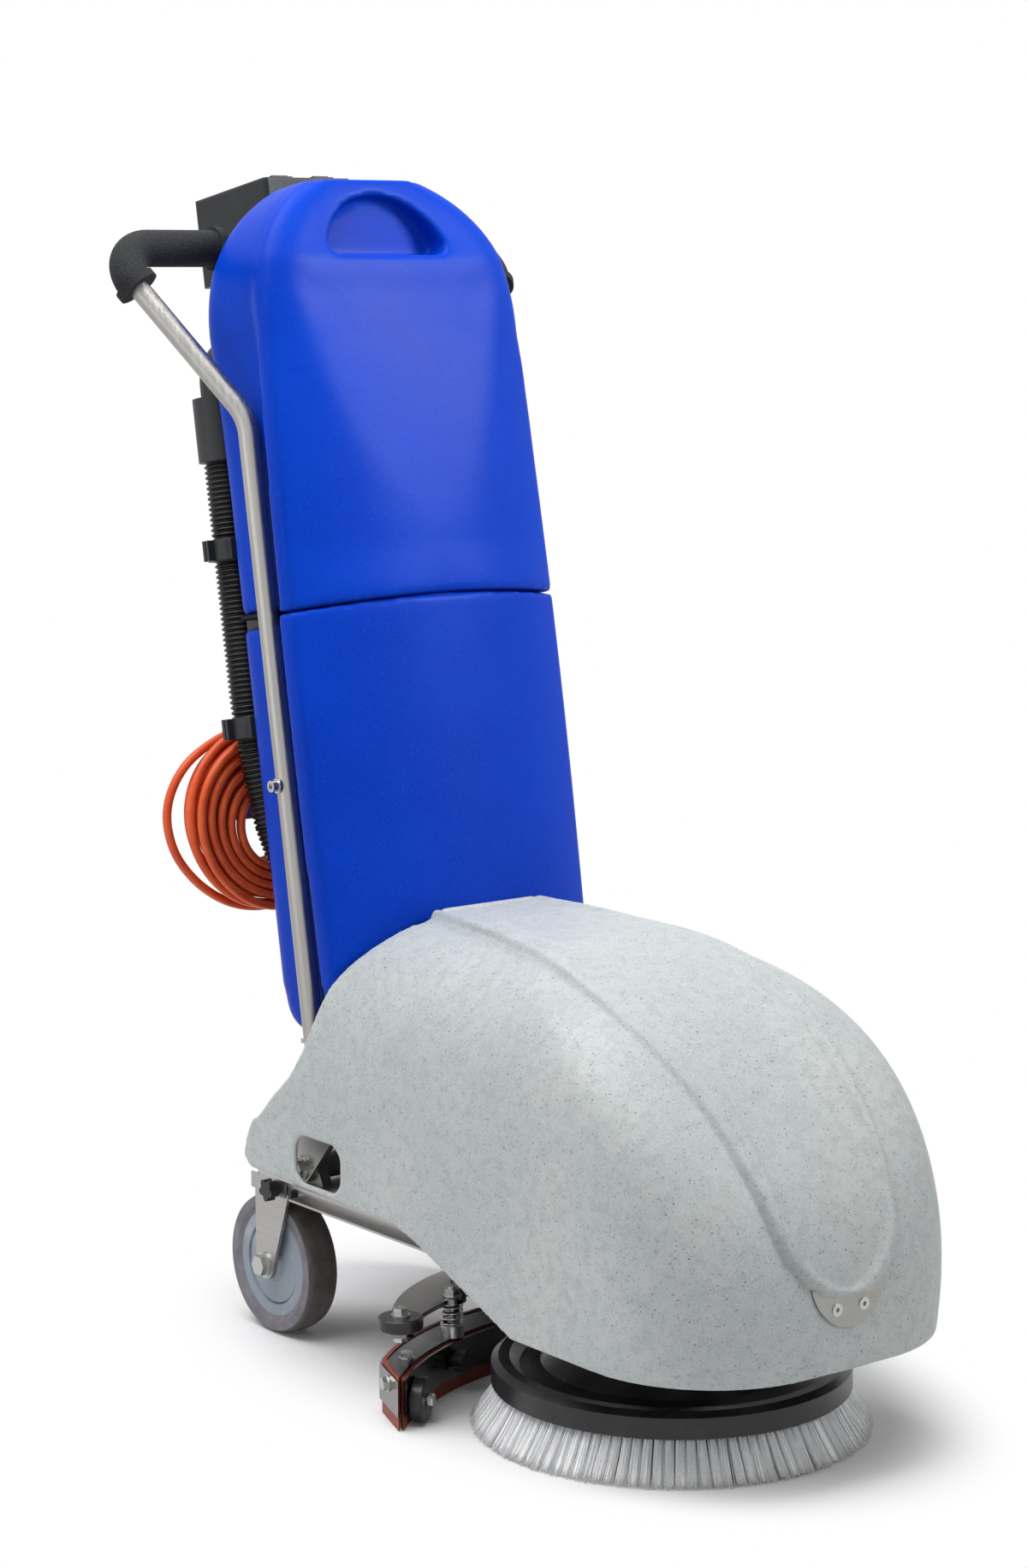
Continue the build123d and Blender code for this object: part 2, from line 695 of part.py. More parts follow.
def tank_plan(w, skin, creased):
    """Cross-section of a tank at one height, pulled in by the skin, its front round or creased."""
    dome = sqrt(1 - max((w - DOME_W) / DOME_H, 0.0) ** 2)
    back = sqrt(1 - max((w - BACK_W) / BACK_H, 0.0) ** 2)
    foot = max(TANK_LOW + FOOT_ROUND - w, 0.0)
    foot = FOOT_ROUND - sqrt(FOOT_ROUND ** 2 - foot ** 2)
    heel = max(TANK_LOW + HEEL_ROUND - w, 0.0)
    heel = HEEL_ROUND - sqrt(HEEL_ROUND ** 2 - heel ** 2)
    wide = TANK_HALF - BARREL * ((w - BARREL_W) / (DOME_W - BARREL_W)) ** 2
    half = wide * dome - skin - foot
    shoulder = 6 * min(max((w - BEND_W) / 90, 0.0), 1.0)
    rear_half = (TANK_REAR_HALF + shoulder) * dome - skin - foot
    flat, front = tank_face(w)
    front += skin + foot
    corner = DOME_V + (TANK_CORNER - DOME_V + skin) * dome + foot / 3
    step = DOME_V + (TANK_STEP - DOME_V - skin) * dome
    rear = DOME_V + (TANK_REAR - DOME_V) * back - skin - heel
    edge = (9 - 1.2 * skin) * dome
    bow = SIDE_BOW * (half - flat)
    side = ((half + flat) / 2, (front + corner) / 2 - bow)
    with BuildSketch(COLUMN.offset(w)) as plan:
        with BuildLine():
            if creased:
                ThreePointArc((-half, corner), (-side[0], side[1]), (-flat, front))
                Line((-flat, front), (flat, front))
                ThreePointArc((flat, front), side, (half, corner))
            else:
                ThreePointArc((-half, corner), (0, front), (half, corner))
            Polyline(
                (half, corner),
                (half, step),
                (rear_half, step),
                (rear_half, rear),
                (-rear_half, rear),
                (-rear_half, step),
                (-half, step),
                (-half, corner),
            )
        make_face()
        fillet(plan.vertices().group_by(Axis.Y)[-1], 30 * dome)
        fillet(plan.vertices().group_by(Axis.Y)[int(creased)], edge)
    return plan.sketch


def tank_sections(heights, skin, creased):
    """Cross-sections at a list of heights, pulled in by the skin."""
    return [tank_plan(w, skin, creased) for w in heights]


def seam_cut(low, high, mode):
    """Block between an arched seam line and a level, across the front part of the tanks."""
    crown = SEAM_W + SEAM_RISE
    with BuildSketch(FACE) as block:
        with BuildLine():
            left = (-TANK_HALF - 20, SEAM_W + low)
            right = (TANK_HALF + 20, SEAM_W + low)
            ThreePointArc(left, (0, crown + low), right)
            Polyline(right, (TANK_HALF + 20, high), (-TANK_HALF - 20, high), left)
        make_face()
    extrude(to_extrude=block.sketch, amount=200, both=True, mode=mode)


def rear_cut(start, depth, mode):
    """Slab that opens the wider seam across the rear part of the tanks."""
    with BuildSketch(COLUMN.offset(start)) as slab:
        with Locations((0, TANK_STEP + 100)):
            Rectangle(2 * TANK_HALF + 40, 200)
    extrude(to_extrude=slab.sketch, amount=depth, mode=mode)


HEEL = (TANK_LOW, TANK_LOW + 4, TANK_LOW + 12, TANK_LOW + 26, TANK_LOW + HEEL_ROUND)
LOWER = (TANK_LOW + HEEL_ROUND, 423, 515, 607, 700)
UPPER = (
    (591, 645, CREASE_LOW),
    (CREASE_LOW, 773, CREASE_HIGH),
    (CREASE_HIGH, FACET_W),
    (FACET_W, 912, BROW_W),
)
DOME = (BROW_W, 965, 982, 997, 1008, TANK_TOP)
with BuildPart() as lower_void:
    loft(sections=tank_sections(LOWER, TANK_WALL, False))
    loft(sections=tank_sections(HEEL, TANK_WALL, False))
    with BuildSketch(COLUMN.offset(TANK_LOW)):
        Rectangle(400, 400)
    extrude(amount=TANK_WALL, mode=Mode.SUBTRACT)
    seam_cut(-SEAM_GAP / 2 - TANK_WALL, 760, Mode.SUBTRACT)
    rear_cut(REAR_SEAM_LOW - TANK_WALL, 120, Mode.SUBTRACT)
with BuildPart() as solution_tank:
    loft(sections=tank_sections(LOWER, 0, False))
    loft(sections=tank_sections(HEEL, 0, False))
    seam_cut(-SEAM_GAP / 2, 760, Mode.SUBTRACT)
    rear_cut(REAR_SEAM_LOW, 120, Mode.SUBTRACT)
    add(lower_void.part, mode=Mode.SUBTRACT)
    with BuildSketch(SIDE):
        with Locations((0, SCREW_W)):
            Circle(TUBE_SCREW_D / 2)
    extrude(amount=TANK_HALF, both=True, mode=Mode.SUBTRACT)
    with BuildSketch(Plane(origin=on_column(FILLER_X, TANK_REAR, FILLER_W), z_dir=BACK)):
        Circle(FILLER_D / 2 - 8)
    extrude(amount=TANK_WALL + 2, both=True, mode=Mode.SUBTRACT)
finish(solution_tank, "solution_tank")


def pocket(grow):
    """Outline of the hand hold in the tank's sloping top, grown by a wall."""
    with BuildSketch(FACE.offset(POCKET_BACK - grow)) as outline:
        with BuildLine():
            low = POCKET_W - grow
            half = POCKET_HALF + grow
            high = POCKET_W + POCKET_H + grow
            ThreePointArc((half, low), (0, high), (-half, low))
            Line((-half, low), (half, low))
        make_face()
        fillet(outline.vertices(), 9)
    return outline.sketch


with BuildPart() as upper_void:
    for heights in (*UPPER, DOME[:-1]):
        loft(sections=tank_sections(heights, TANK_WALL, True))
    seam_cut(SEAM_GAP / 2 + TANK_WALL, 500, Mode.SUBTRACT)
    rear_cut(REAR_SEAM_HIGH + TANK_WALL, -120, Mode.SUBTRACT)
    extrude(to_extrude=pocket(TANK_WALL), amount=200, mode=Mode.SUBTRACT)
with BuildPart() as recovery_tank:
    for heights in (*UPPER, DOME):
        loft(sections=tank_sections(heights, 0, True))
    seam_cut(SEAM_GAP / 2, 500, Mode.SUBTRACT)
    rear_cut(REAR_SEAM_HIGH, -120, Mode.SUBTRACT)
    add(upper_void.part, mode=Mode.SUBTRACT)
    extrude(to_extrude=pocket(0), amount=200, mode=Mode.SUBTRACT)
    with BuildSketch(Plane(origin=on_column(HOSE_X, TANK_REAR, ELBOW_W), z_dir=BACK)):
        Circle(SPIGOT_D / 2 + FIT)
    extrude(amount=2 * TANK_WALL + 4, both=True, mode=Mode.SUBTRACT)
    with BuildSketch(Plane(origin=on_column(LID_X, TANK_REAR, LID_W), z_dir=BACK)):
        Circle(LID_D / 2 - 10)
    extrude(amount=TANK_WALL + 2, both=True, mode=Mode.SUBTRACT)
finish(recovery_tank, "recovery_tank")

# Screw caps on the backs of the tanks and the inlet elbow of the recovery tank
def screw_cap(x, w, diameter, thick):
    """Round cap with finger scallops that turns on the back of a tank."""
    seat = on_column(x, TANK_REAR + RUN_GAP / 2, w)
    face = on_column(x, TANK_REAR + RUN_GAP / 2 + thick * 0.6, w)
    with BuildPart() as cap:
        with BuildSketch(Plane(origin=seat, x_dir=(1, 0, 0), z_dir=BACK)):
            Circle(diameter / 2)
        extrude(amount=thick * 0.6)
        with BuildSketch(Plane(origin=face, x_dir=(1, 0, 0), z_dir=BACK)):
            Circle(diameter / 2 - 6)
            with PolarLocations(diameter / 2 - 2, 8):
                Circle(diameter / 12, mode=Mode.SUBTRACT)
        extrude(amount=thick * 0.4)
    return cap


filler_cap = screw_cap(FILLER_X, FILLER_W, FILLER_D, 22)
finish(filler_cap, "filler_cap")
tank_lid = screw_cap(LID_X, LID_W, LID_D, 22)
finish(tank_lid, "tank_lid")

ELBOW_R = HOSE_V - TANK_REAR - 1
CUFF_TOP = HOSE_TOP + 42
with BuildPart() as elbow:
    with BuildLine() as elbow_path:
        start = on_column(HOSE_X, TANK_REAR - 14, ELBOW_W)
        turn = on_column(HOSE_X, HOSE_V, ELBOW_W)
        end = on_column(HOSE_X, HOSE_V, HOSE_TOP + 4)
        FilletPolyline(start, turn, end, radius=ELBOW_R)
    with BuildSketch(Plane(origin=start, x_dir=(1, 0, 0), z_dir=BACK)):
        Circle(SPIGOT_D / 2)
        Circle(SPIGOT_D / 2 - 2.5, mode=Mode.SUBTRACT)
    sweep(path=elbow_path.line)
finish(elbow, "inlet_elbow")

# Handle: one bent tube from foot to foot, round the control box
TUBE_IN = TUBE_X - TUBE_D / 2
LEG_BEND_R = 48.0
BAR_BEND_R = 28.0
with BuildPart() as handle:
    with BuildLine() as handle_path:
        FilletPolyline(
            on_column(-TUBE_X, 0, TUBE_LOW),
            on_column(-TUBE_X, 0, BEND_W),
            on_column(-BAR_X, BAR_V, BAR_W),
            on_column(BAR_X, BAR_V, BAR_W),
            on_column(TUBE_X, 0, BEND_W),
            on_column(TUBE_X, 0, TUBE_LOW),
            radius=[LEG_BEND_R, BAR_BEND_R, BAR_BEND_R, LEG_BEND_R],
        )
    with BuildSketch(Plane(origin=handle_path.line @ 0, x_dir=(1, 0, 0), z_dir=UP)):
        Circle(TUBE_D / 2)
        Circle(TUBE_D / 2 - TUBE_WALL, mode=Mode.SUBTRACT)
    sweep(path=handle_path.line)
    with BuildSketch(SIDE):
        with Locations((0, SCREW_W)):
            Circle(TUBE_SCREW_D / 2)
    extrude(amount=TUBE_X + 20, both=True, mode=Mode.SUBTRACT)
finish(handle, "handle_frame")

# Foam grips over both bends of the handle
LEG_SHARE = 0.76
with BuildPart() as grips:
    for side in (-1, 1):
        bend = on_column(side * TUBE_X, 0, BEND_W)
        corner = on_column(side * BAR_X, BAR_V, BAR_W)
        low_end = bend + (corner - bend) * LEG_SHARE
        bar_end = on_column(side * GRIP_INNER_X, BAR_V, BAR_W)
        along_leg = (corner - bend).normalized()
        with BuildLine() as grip_path:
            FilletPolyline(low_end, corner, bar_end, radius=BAR_BEND_R)
        with BuildSketch(Plane(origin=low_end, z_dir=along_leg)) as sleeve:
            Circle(GRIP_D / 2)
            Circle(TUBE_D / 2, mode=Mode.SUBTRACT)
        sweep(sections=sleeve.sketch, path=grip_path.line)
        for end, heading in ((low_end, along_leg), (bar_end, (side, 0, 0))):
            with BuildSketch(Plane(origin=end, z_dir=heading)) as flange:
                Circle(GRIP_FLANGE_D / 2)
                Circle(TUBE_D / 2, mode=Mode.SUBTRACT)
            extrude(to_extrude=flange.sketch, amount=7)
finish(grips, "grips")

# Column foot: plates that swing on the pivot bolts between the tubes and the deck lugs
PIVOT = Vector(0, BRUSH_Y + PIVOT_Y, PIVOT_Z)
PIVOT_V = COLUMN.to_local_coords(PIVOT).Y
PIVOT_W = COLUMN.to_local_coords(PIVOT).Z
FOOT_X = TUBE_IN - FOOT_T
LUG_OUT = FOOT_X - RUN_GAP / 2
with BuildPart() as lugs:
    for side in (-1, 1):
        with BuildSketch(Plane.YZ.offset(side * LUG_OUT)):
            with Locations((PIVOT.Y, PIVOT_Z)):
                Circle(14)
            with Locations((PIVOT.Y, DECK_Z + 1)):
                Rectangle(44, 2)
            make_hull()
            with Locations((PIVOT.Y, PIVOT_Z)):
                Circle(PIVOT_D / 2, mode=Mode.SUBTRACT)
        extrude(amount=-side * LUG_T)
finish(lugs, "pivot_lugs")

with BuildPart() as pivot_tube:
    with BuildSketch(Plane.YZ):
        with Locations((PIVOT.Y, PIVOT_Z)):
            Circle(12.5)
            Circle(PIVOT_D / 2, mode=Mode.SUBTRACT)
    extrude(amount=LUG_OUT - LUG_T, both=True)
finish(pivot_tube, "pivot_tube")

with BuildPart() as pivot_bolts:
    for side in (-1, 1):
        head = FOOT_X + FOOT_T + RUN_GAP / 2
        with BuildSketch(Plane.YZ.offset(side * head)):
            with Locations((PIVOT.Y, PIVOT_Z)):
                Circle(PIVOT_D / 2)
        extrude(amount=-side * (FOOT_T + LUG_T + 40))
        with BuildSketch(Plane.YZ.offset(side * head)):
            with Locations((PIVOT.Y, PIVOT_Z)):
                Circle(10.5)
        extrude(amount=side * 2)
        with BuildSketch(Plane.YZ.offset(side * (head + 2))):
            with Locations((PIVOT.Y, PIVOT_Z)):
                RegularPolygon(9.2, 6)
        extrude(amount=side * 6)
finish(pivot_bolts, "pivot_bolts")

# Plates welded to the handle tube: feet on the pivot, shelf under and cross plate between the tanks
SHELF_T = 4.0
SHELF_W = TANK_LOW - SHELF_T - RUN_GAP
with BuildPart() as plates:
    for side in (-1, 1):
        with BuildSketch(SIDE.offset(side * FOOT_X)):
            with Locations((PIVOT_V, PIVOT_W)):
                Circle(PIVOT_Z - DECK_Z - 1)
            with Locations((0, (TUBE_LOW + SHELF_W) / 2)):
                Rectangle(16, SHELF_W - TUBE_LOW)
            make_hull()
            with Locations((PIVOT_V, PIVOT_W)):
                Circle(PIVOT_D / 2 + FIT, mode=Mode.SUBTRACT)
        extrude(amount=side * FOOT_T)
    with BuildSketch(COLUMN.offset(SHELF_W)):
        with Locations((0, -14)):
            Rectangle(2 * TUBE_IN, 96)
    extrude(amount=SHELF_T)
    with BuildSketch(COLUMN.offset(REAR_SEAM_HIGH - 3 - RUN_GAP)):
        with Locations((0, 26)):
            Rectangle(2 * TUBE_IN, 60)
        with Locations((HOSE_X, 60)):
            Rectangle(40, 16, mode=Mode.SUBTRACT)
    extrude(amount=3)
finish(plates, "column_plates")

with BuildPart() as tube_screws:
    for side in (-1, 1):
        with BuildSketch(SIDE.offset(side * (TUBE_X + TUBE_D / 2))):
            with Locations((0, SCREW_W)):
                Circle(TUBE_SCREW_D / 2)
        extrude(amount=-side * (TUBE_D + 6))
        with BuildSketch(SIDE.offset(side * (TUBE_X + TUBE_D / 2))):
            with Locations((0, SCREW_W)):
                Circle(6.5)
        extrude(amount=side * 1.5)
        with BuildSketch(SIDE.offset(side * (TUBE_X + TUBE_D / 2 + 1.5))):
            with Locations((0, SCREW_W)):
                Circle(5)
        extrude(amount=side * 6)
        with BuildSketch(SIDE.offset(side * (TUBE_X + TUBE_D / 2 + 7.5))):
            with Locations((0, SCREW_W)):
                RegularPolygon(2.9, 6)
        extrude(amount=-side * 3, mode=Mode.SUBTRACT)
finish(tube_screws, "tube_screws")

# Control box: folded tray with a top panel and two rocker switches
BOX_DEPTH = BOX_REAR - BOX_FRONT
BOX_V = (BOX_REAR + BOX_FRONT) / 2
GLAND_X = COIL_X + COIL_R
GLAND_V = 134.0
GLAND_D = 14.0
with BuildPart() as box:
    with BuildSketch(COLUMN.offset(BOX_LOW)):
        with Locations((0, BOX_V)):
            RectangleRounded(2 * BOX_HALF, BOX_DEPTH, 4)
    extrude(amount=BOX_HIGH - BOX_WALL - BOX_LOW)
    with BuildSketch(COLUMN.offset(BOX_LOW + BOX_WALL)):
        with Locations((0, BOX_V)):
            RectangleRounded(2 * (BOX_HALF - BOX_WALL), BOX_DEPTH - 2 * BOX_WALL, 2)
    extrude(amount=BOX_HIGH - BOX_LOW, mode=Mode.SUBTRACT)
    with BuildSketch(SIDE):
        with Locations((BAR_V, BAR_W)):
            Circle(TUBE_D / 2)
    extrude(amount=BOX_HALF + 10, both=True, mode=Mode.SUBTRACT)
    with BuildSketch(COLUMN.offset(BOX_LOW)):
        with Locations((GLAND_X, GLAND_V)):
            Circle(GLAND_D / 2)
    extrude(amount=BOX_WALL, mode=Mode.SUBTRACT)
finish(box, "control_box")

ROCKER_L = 25.0
ROCKER_W = 17.0
ROCKER_X = 22.0
ROCKER_V = BOX_FRONT + 24.0
BEZEL_H = 2.5
ROCKER_PIN_D = 3.2
ROCKER_PIN_L = ROCKER_W / 2 + RUN_GAP + 2
ROCKER_PIN_W = BOX_HIGH + BEZEL_H - 4
with BuildPart() as panel:
    with BuildSketch(COLUMN.offset(BOX_HIGH - BOX_WALL)):
        with Locations((0, BOX_V)):
            RectangleRounded(2 * BOX_HALF, BOX_DEPTH, 4)
    extrude(amount=BOX_WALL)
    for side in (-1, 1):
        with BuildSketch(COLUMN.offset(BOX_HIGH - BOX_WALL - 8)):
            with Locations((side * ROCKER_X, ROCKER_V)):
                RectangleRounded(ROCKER_W + 7, ROCKER_L + 8, 2)
        extrude(amount=BOX_WALL + 8 + BEZEL_H)
        with BuildSketch(COLUMN.offset(BOX_HIGH - BOX_WALL - 6)):
            with Locations((side * ROCKER_X, ROCKER_V)):
                Rectangle(ROCKER_W + 2 * RUN_GAP, ROCKER_L + 3)
        extrude(amount=BOX_WALL + 8 + BEZEL_H, mode=Mode.SUBTRACT)
        with BuildSketch(SIDE.offset(side * ROCKER_X)):
            with Locations((ROCKER_V, ROCKER_PIN_W)):
                Circle(ROCKER_PIN_D / 2 + FIT)
        extrude(amount=ROCKER_PIN_L + FIT, both=True, mode=Mode.SUBTRACT)
finish(panel, "control_panel")

for side, name in ((-1, "brush_switch"), (1, "vacuum_switch")):
    with BuildPart() as rocker:
        with BuildSketch(SIDE.offset(side * ROCKER_X)):
            with BuildLine():
                top = BOX_HIGH + BEZEL_H
                Polyline(
                    (ROCKER_V - ROCKER_L / 2, top + 1.5),
                    (ROCKER_V - ROCKER_L / 2, top - 3),
                    (ROCKER_V, top - 6),
                    (ROCKER_V + ROCKER_L / 2, top - 3),
                    (ROCKER_V + ROCKER_L / 2, top + 1.5),
                )
                ThreePointArc(
                    (ROCKER_V - ROCKER_L / 2, top + 1.5),
                    (ROCKER_V, top),
                    (ROCKER_V + ROCKER_L / 2, top + 1.5),
                )
            make_face()
        extrude(amount=ROCKER_W / 2, both=True)
        with BuildSketch(SIDE.offset(side * ROCKER_X)):
            with Locations((ROCKER_V, ROCKER_PIN_W)):
                Circle(ROCKER_PIN_D / 2)
        extrude(amount=ROCKER_PIN_L, both=True)
    finish(rocker, name)


# Suction hose: ribbed, clipped to the tanks above and free to bend at the column's foot
def ribbed_hose(path):
    """Ribbed tube with its bore along a path, plain for one diameter at both ends."""
    long = path.length
    low = HOSE_D / 2 - RIB_H
    count = int((long - 2 * HOSE_D) / RIB_PITCH)
    start = (long - count * RIB_PITCH) / 2
    stations = [(0, low)]
    for rib in range(count):
        foot = start + rib * RIB_PITCH
        stations += [
            (foot, low),
            (foot + 0.2 * RIB_PITCH, HOSE_D / 2),
            (foot + 0.5 * RIB_PITCH, HOSE_D / 2),
            (foot + 0.7 * RIB_PITCH, low),
        ]
    stations.append((long, low))
    rings = []
    for reach, radius in stations:
        spot = path.position_at(reach / long)
        heading = path.tangent_at(reach / long)
        with BuildSketch(Plane(origin=spot, x_dir=(1, 0, 0), z_dir=heading)) as ring:
            Circle(radius)
        rings.append(ring.sketch)
    with BuildPart() as tube:
        loft(sections=rings, ruled=True)
        with BuildSketch(Plane(origin=path @ 0, x_dir=(1, 0, 0), z_dir=path % 0)) as bore:
            Circle(HOSE_BORE / 2)
        sweep(sections=bore.sketch, path=path, mode=Mode.SUBTRACT)
    return tube


HOSE_JOIN = 470.0
HOSE_END_Z = CARRIER_Z + 18
with BuildLine() as upper_run:
    Line(on_column(HOSE_X, HOSE_V, HOSE_TOP), on_column(HOSE_X, HOSE_V, HOSE_JOIN))
upper_hose = ribbed_hose(upper_run.wire())
finish(upper_hose, "suction_hose")

with BuildLine() as lower_run:
    FilletPolyline(
        on_column(HOSE_X, HOSE_V, HOSE_JOIN),
        on_column(HOSE_X, HOSE_V, HOSE_JOIN - 45),
        (-62, BRUSH_Y + 420, 285),
        (-20, BRUSH_Y + 338, 202),
        (0, PORT_Y, 194),
        (0, PORT_Y, HOSE_END_Z),
        radius=[120, 90, 70, 48],
    )
lower_hose = ribbed_hose(lower_run.wire())
finish(lower_hose, "hose_loop")

with BuildPart() as cuff:
    with BuildSketch(COLUMN.offset(HOSE_TOP - 14)):
        with Locations((HOSE_X, HOSE_V)):
            Circle(HOSE_D / 2 + 4)
            Circle(HOSE_D / 2 - RIB_H, mode=Mode.SUBTRACT)
    extrude(amount=14)
    with BuildSketch(COLUMN.offset(HOSE_TOP)):
        with Locations((HOSE_X, HOSE_V)):
            Circle(HOSE_D / 2 + 4)
            Circle(SPIGOT_D / 2 + RUN_GAP, mode=Mode.SUBTRACT)
    extrude(amount=CUFF_TOP - HOSE_TOP)
finish(cuff, "hose_cuff")

CLIP_WIDTHS = (713.0, 556.0)
with BuildPart() as clips:
    for w in CLIP_WIDTHS:
        with BuildSketch(COLUMN.offset(w - 9)):
            with Locations((HOSE_X, HOSE_V)):
                Circle(HOSE_D / 2 + 5)
            with Locations((HOSE_X, TANK_REAR + 4)):
                Rectangle(34, 8)
            with Locations((HOSE_X - HOSE_D / 2 - 5, HOSE_V)):
                Rectangle(12, 9)
            with Locations((HOSE_X, HOSE_V)):
                Circle(HOSE_D / 2, mode=Mode.SUBTRACT)
            with Locations((HOSE_X - HOSE_D / 2 - 5, HOSE_V)):
                Rectangle(14, 1.5, mode=Mode.SUBTRACT)
        extrude(amount=18)
finish(clips, "hose_clips")

# Mains cable: gland, lead, coil on its hook, and the plug
CORD_R = CORD_D / 2
HALF_TURNS = 2 * COIL_TURNS
LOOSE = 8.0


def coil_points():
    """Ends of the half turns: right and left of the coil by turns, in and out again."""
    points = []
    for layer in range(COIL_LAYERS):
        steps = range(HALF_TURNS) if layer % 2 == 0 else reversed(range(HALF_TURNS))
        for step in steps:
            side = 1 if len(points) % 2 == 0 else -1
            reach = COIL_R - step * CORD_PITCH / 2
            depth = BRUSH_Y + COIL_Y + (layer - (COIL_LAYERS - 1) / 2) * CORD_PITCH
            points.append((COIL_X + side * reach, depth, COIL_Z))
    x, y, z = points.pop()
    points.append((x - LOOSE, y, z))
    points.append((COIL_X + COIL_R + LOOSE + CORD_PITCH / 2, y, z))
    return points


def least_gap(line, count):
    """Least clear distance of a round cord to itself, past three diameters along it."""
    spots = [tuple(line.position_at(i / count)) for i in range(count + 1)]
    apart = int(3 * CORD_D / (line.length / count)) + 1
    near = min(
        dist(spots[i], spots[j])
        for i in range(0, count, 2)
        for j in range(i + apart, count + 1)
    )
    return near - CORD_D


turns = coil_points()
COIL_START = Vector(*turns[0]) + Vector(0, 0, CORD_D)
COIL_END = Vector(*turns[-1]) - Vector(0, 0, CORD_D)
with BuildPart() as coil:
    with BuildLine() as coil_line:
        Line(COIL_START, turns[0])
        for index in range(len(turns) - 1):
            here = Vector(*turns[index])
            there = Vector(*turns[index + 1])
            drop = Vector(0, 0, (here - there).length / 2)
            sign = -1 if index % 2 == 0 else 1
            ThreePointArc(here, (here + there) * 0.5 + drop * sign, there)
        Line(turns[-1], COIL_END)
    with BuildSketch(Plane(origin=COIL_START, x_dir=(1, 0, 0), z_dir=(0, 0, -1))):
        Circle(CORD_R)
    sweep(path=coil_line.wire())
finish(coil, "cord_coil")
coil_wire = coil_line.wire()
print("coil length", round(coil_wire.length), "least gap", round(least_gap(coil_wire, 900), 2))


def cord_route(points):
    """Straight runs joined by arcs as wide as the shorter run at each turn allows."""
    spots = [Vector(*p) for p in points]
    radii = []
    for before, at, after in zip(spots, spots[1:], spots[2:]):
        into, out = at - before, after - at
        half = radians(into.get_angle(out)) / 2
        radii.append(0.45 * min(into.length, out.length) / (sin(half) / cos(half)))
    with BuildLine() as route:
        FilletPolyline(*spots, radius=radii)
    wire = route.wire()
    print("cord bends", [round(r) for r in radii], "length", round(wire.length))
    return wire


def cord_tube(route):
    """Round cord along a route."""
    with BuildPart() as tube:
        with BuildSketch(Plane(origin=route @ 0, x_dir=(1, 0, 0), z_dir=route % 0)) as ring:
            Circle(CORD_R)
        sweep(sections=ring.sketch, path=route)
    return tube


LEAD = (
    (7, 541, 821),
    (14, 534, 763),
    (22, 527, 704),
    (28, 517, 645),
    (28, 503, 587),
    (23, 487, 534),
)
lead_points = [on_column(GLAND_X, GLAND_V, BOX_LOW - 14), on_column(GLAND_X, GLAND_V, BOX_LOW - 54)]
lead_points += [Vector(x, BRUSH_Y + y, z) for x, y, z in LEAD]
lead_points += [COIL_START + Vector(0, 0, 34), COIL_START]
lead = cord_tube(cord_route(lead_points))
finish(lead, "cord_lead")

last = COIL_END
PLUG_TOP = last + Vector(6, -1, -150)
tail = cord_tube(cord_route([
    last,
    last - Vector(0, 0, 36),
    last + Vector(7, -3, -76),
    PLUG_TOP + Vector(0, 0, 37),
    PLUG_TOP,
]))
finish(tail, "cord_tail")

with BuildPart() as gland:
    with BuildSketch(COLUMN.offset(BOX_LOW - 14)):
        with Locations((GLAND_X, GLAND_V)):
            Circle(CORD_R + 3)
    extrude(amount=6)
    with BuildSketch(COLUMN.offset(BOX_LOW - 8)):
        with Locations((GLAND_X, GLAND_V)):
            RegularPolygon(11, 6)
    extrude(amount=8)
    with BuildSketch(COLUMN.offset(BOX_LOW)):
        with Locations((GLAND_X, GLAND_V)):
            Circle(GLAND_D / 2)
    extrude(amount=10)
finish(gland, "cord_gland")

with BuildPart() as plug:
    with BuildSketch(across(PLUG_TOP.X, PLUG_TOP.Y, PLUG_TOP.Z)):
        with BuildLine():
            Polyline(
                (0, 0), (CORD_R + 2, 0), (CORD_R + 3.5, -22), (12, -26), (19, -40),
                (19, -62), (17, -66), (0, -66), close=True,
            )
        make_face()
    revolve(axis=Axis(PLUG_TOP, (0, 0, 1)))
    with BuildSketch(Plane.XY.offset(PLUG_TOP.Z - 66)):
        with Locations((PLUG_TOP.X - 9.5, PLUG_TOP.Y), (PLUG_TOP.X + 9.5, PLUG_TOP.Y)):
            Circle(2.4)
    extrude(amount=-19)
finish(plug, "cord_plug")

HOOK_Z = COIL_Z + COIL_R - (HALF_TURNS - 1) * CORD_PITCH / 2 - CORD_R - 2.5
HOOK_BACK = COIL_Y + COIL_LAYERS / 2 * CORD_PITCH + 8
HOOK_W = 14.0
with BuildPart() as hook:
    hook_w = HOOK_Z / cos(radians(LEAN)) + (TANK_REAR + 2) * sin(radians(LEAN)) / cos(radians(LEAN))
    seat = on_column(COIL_X + 5, TANK_REAR, hook_w)
    with BuildSketch(Plane(origin=seat, x_dir=(1, 0, 0), z_dir=BACK)):
        Rectangle(32, 44)
    extrude(amount=3)
    with BuildSketch(Plane.XY.offset(HOOK_Z - 4)):
        with Locations((COIL_X + 5, (seat.Y + 1 + BRUSH_Y + HOOK_BACK) / 2)):
            Rectangle(HOOK_W, BRUSH_Y + HOOK_BACK - seat.Y - 1)
    extrude(amount=4)
    with BuildSketch(Plane.XZ.offset(-BRUSH_Y - HOOK_BACK)):
        with Locations((COIL_X, HOOK_Z)):
            RectangleRounded(86, 62, 8)
    extrude(amount=-3)
finish(hook, "cord_hook")


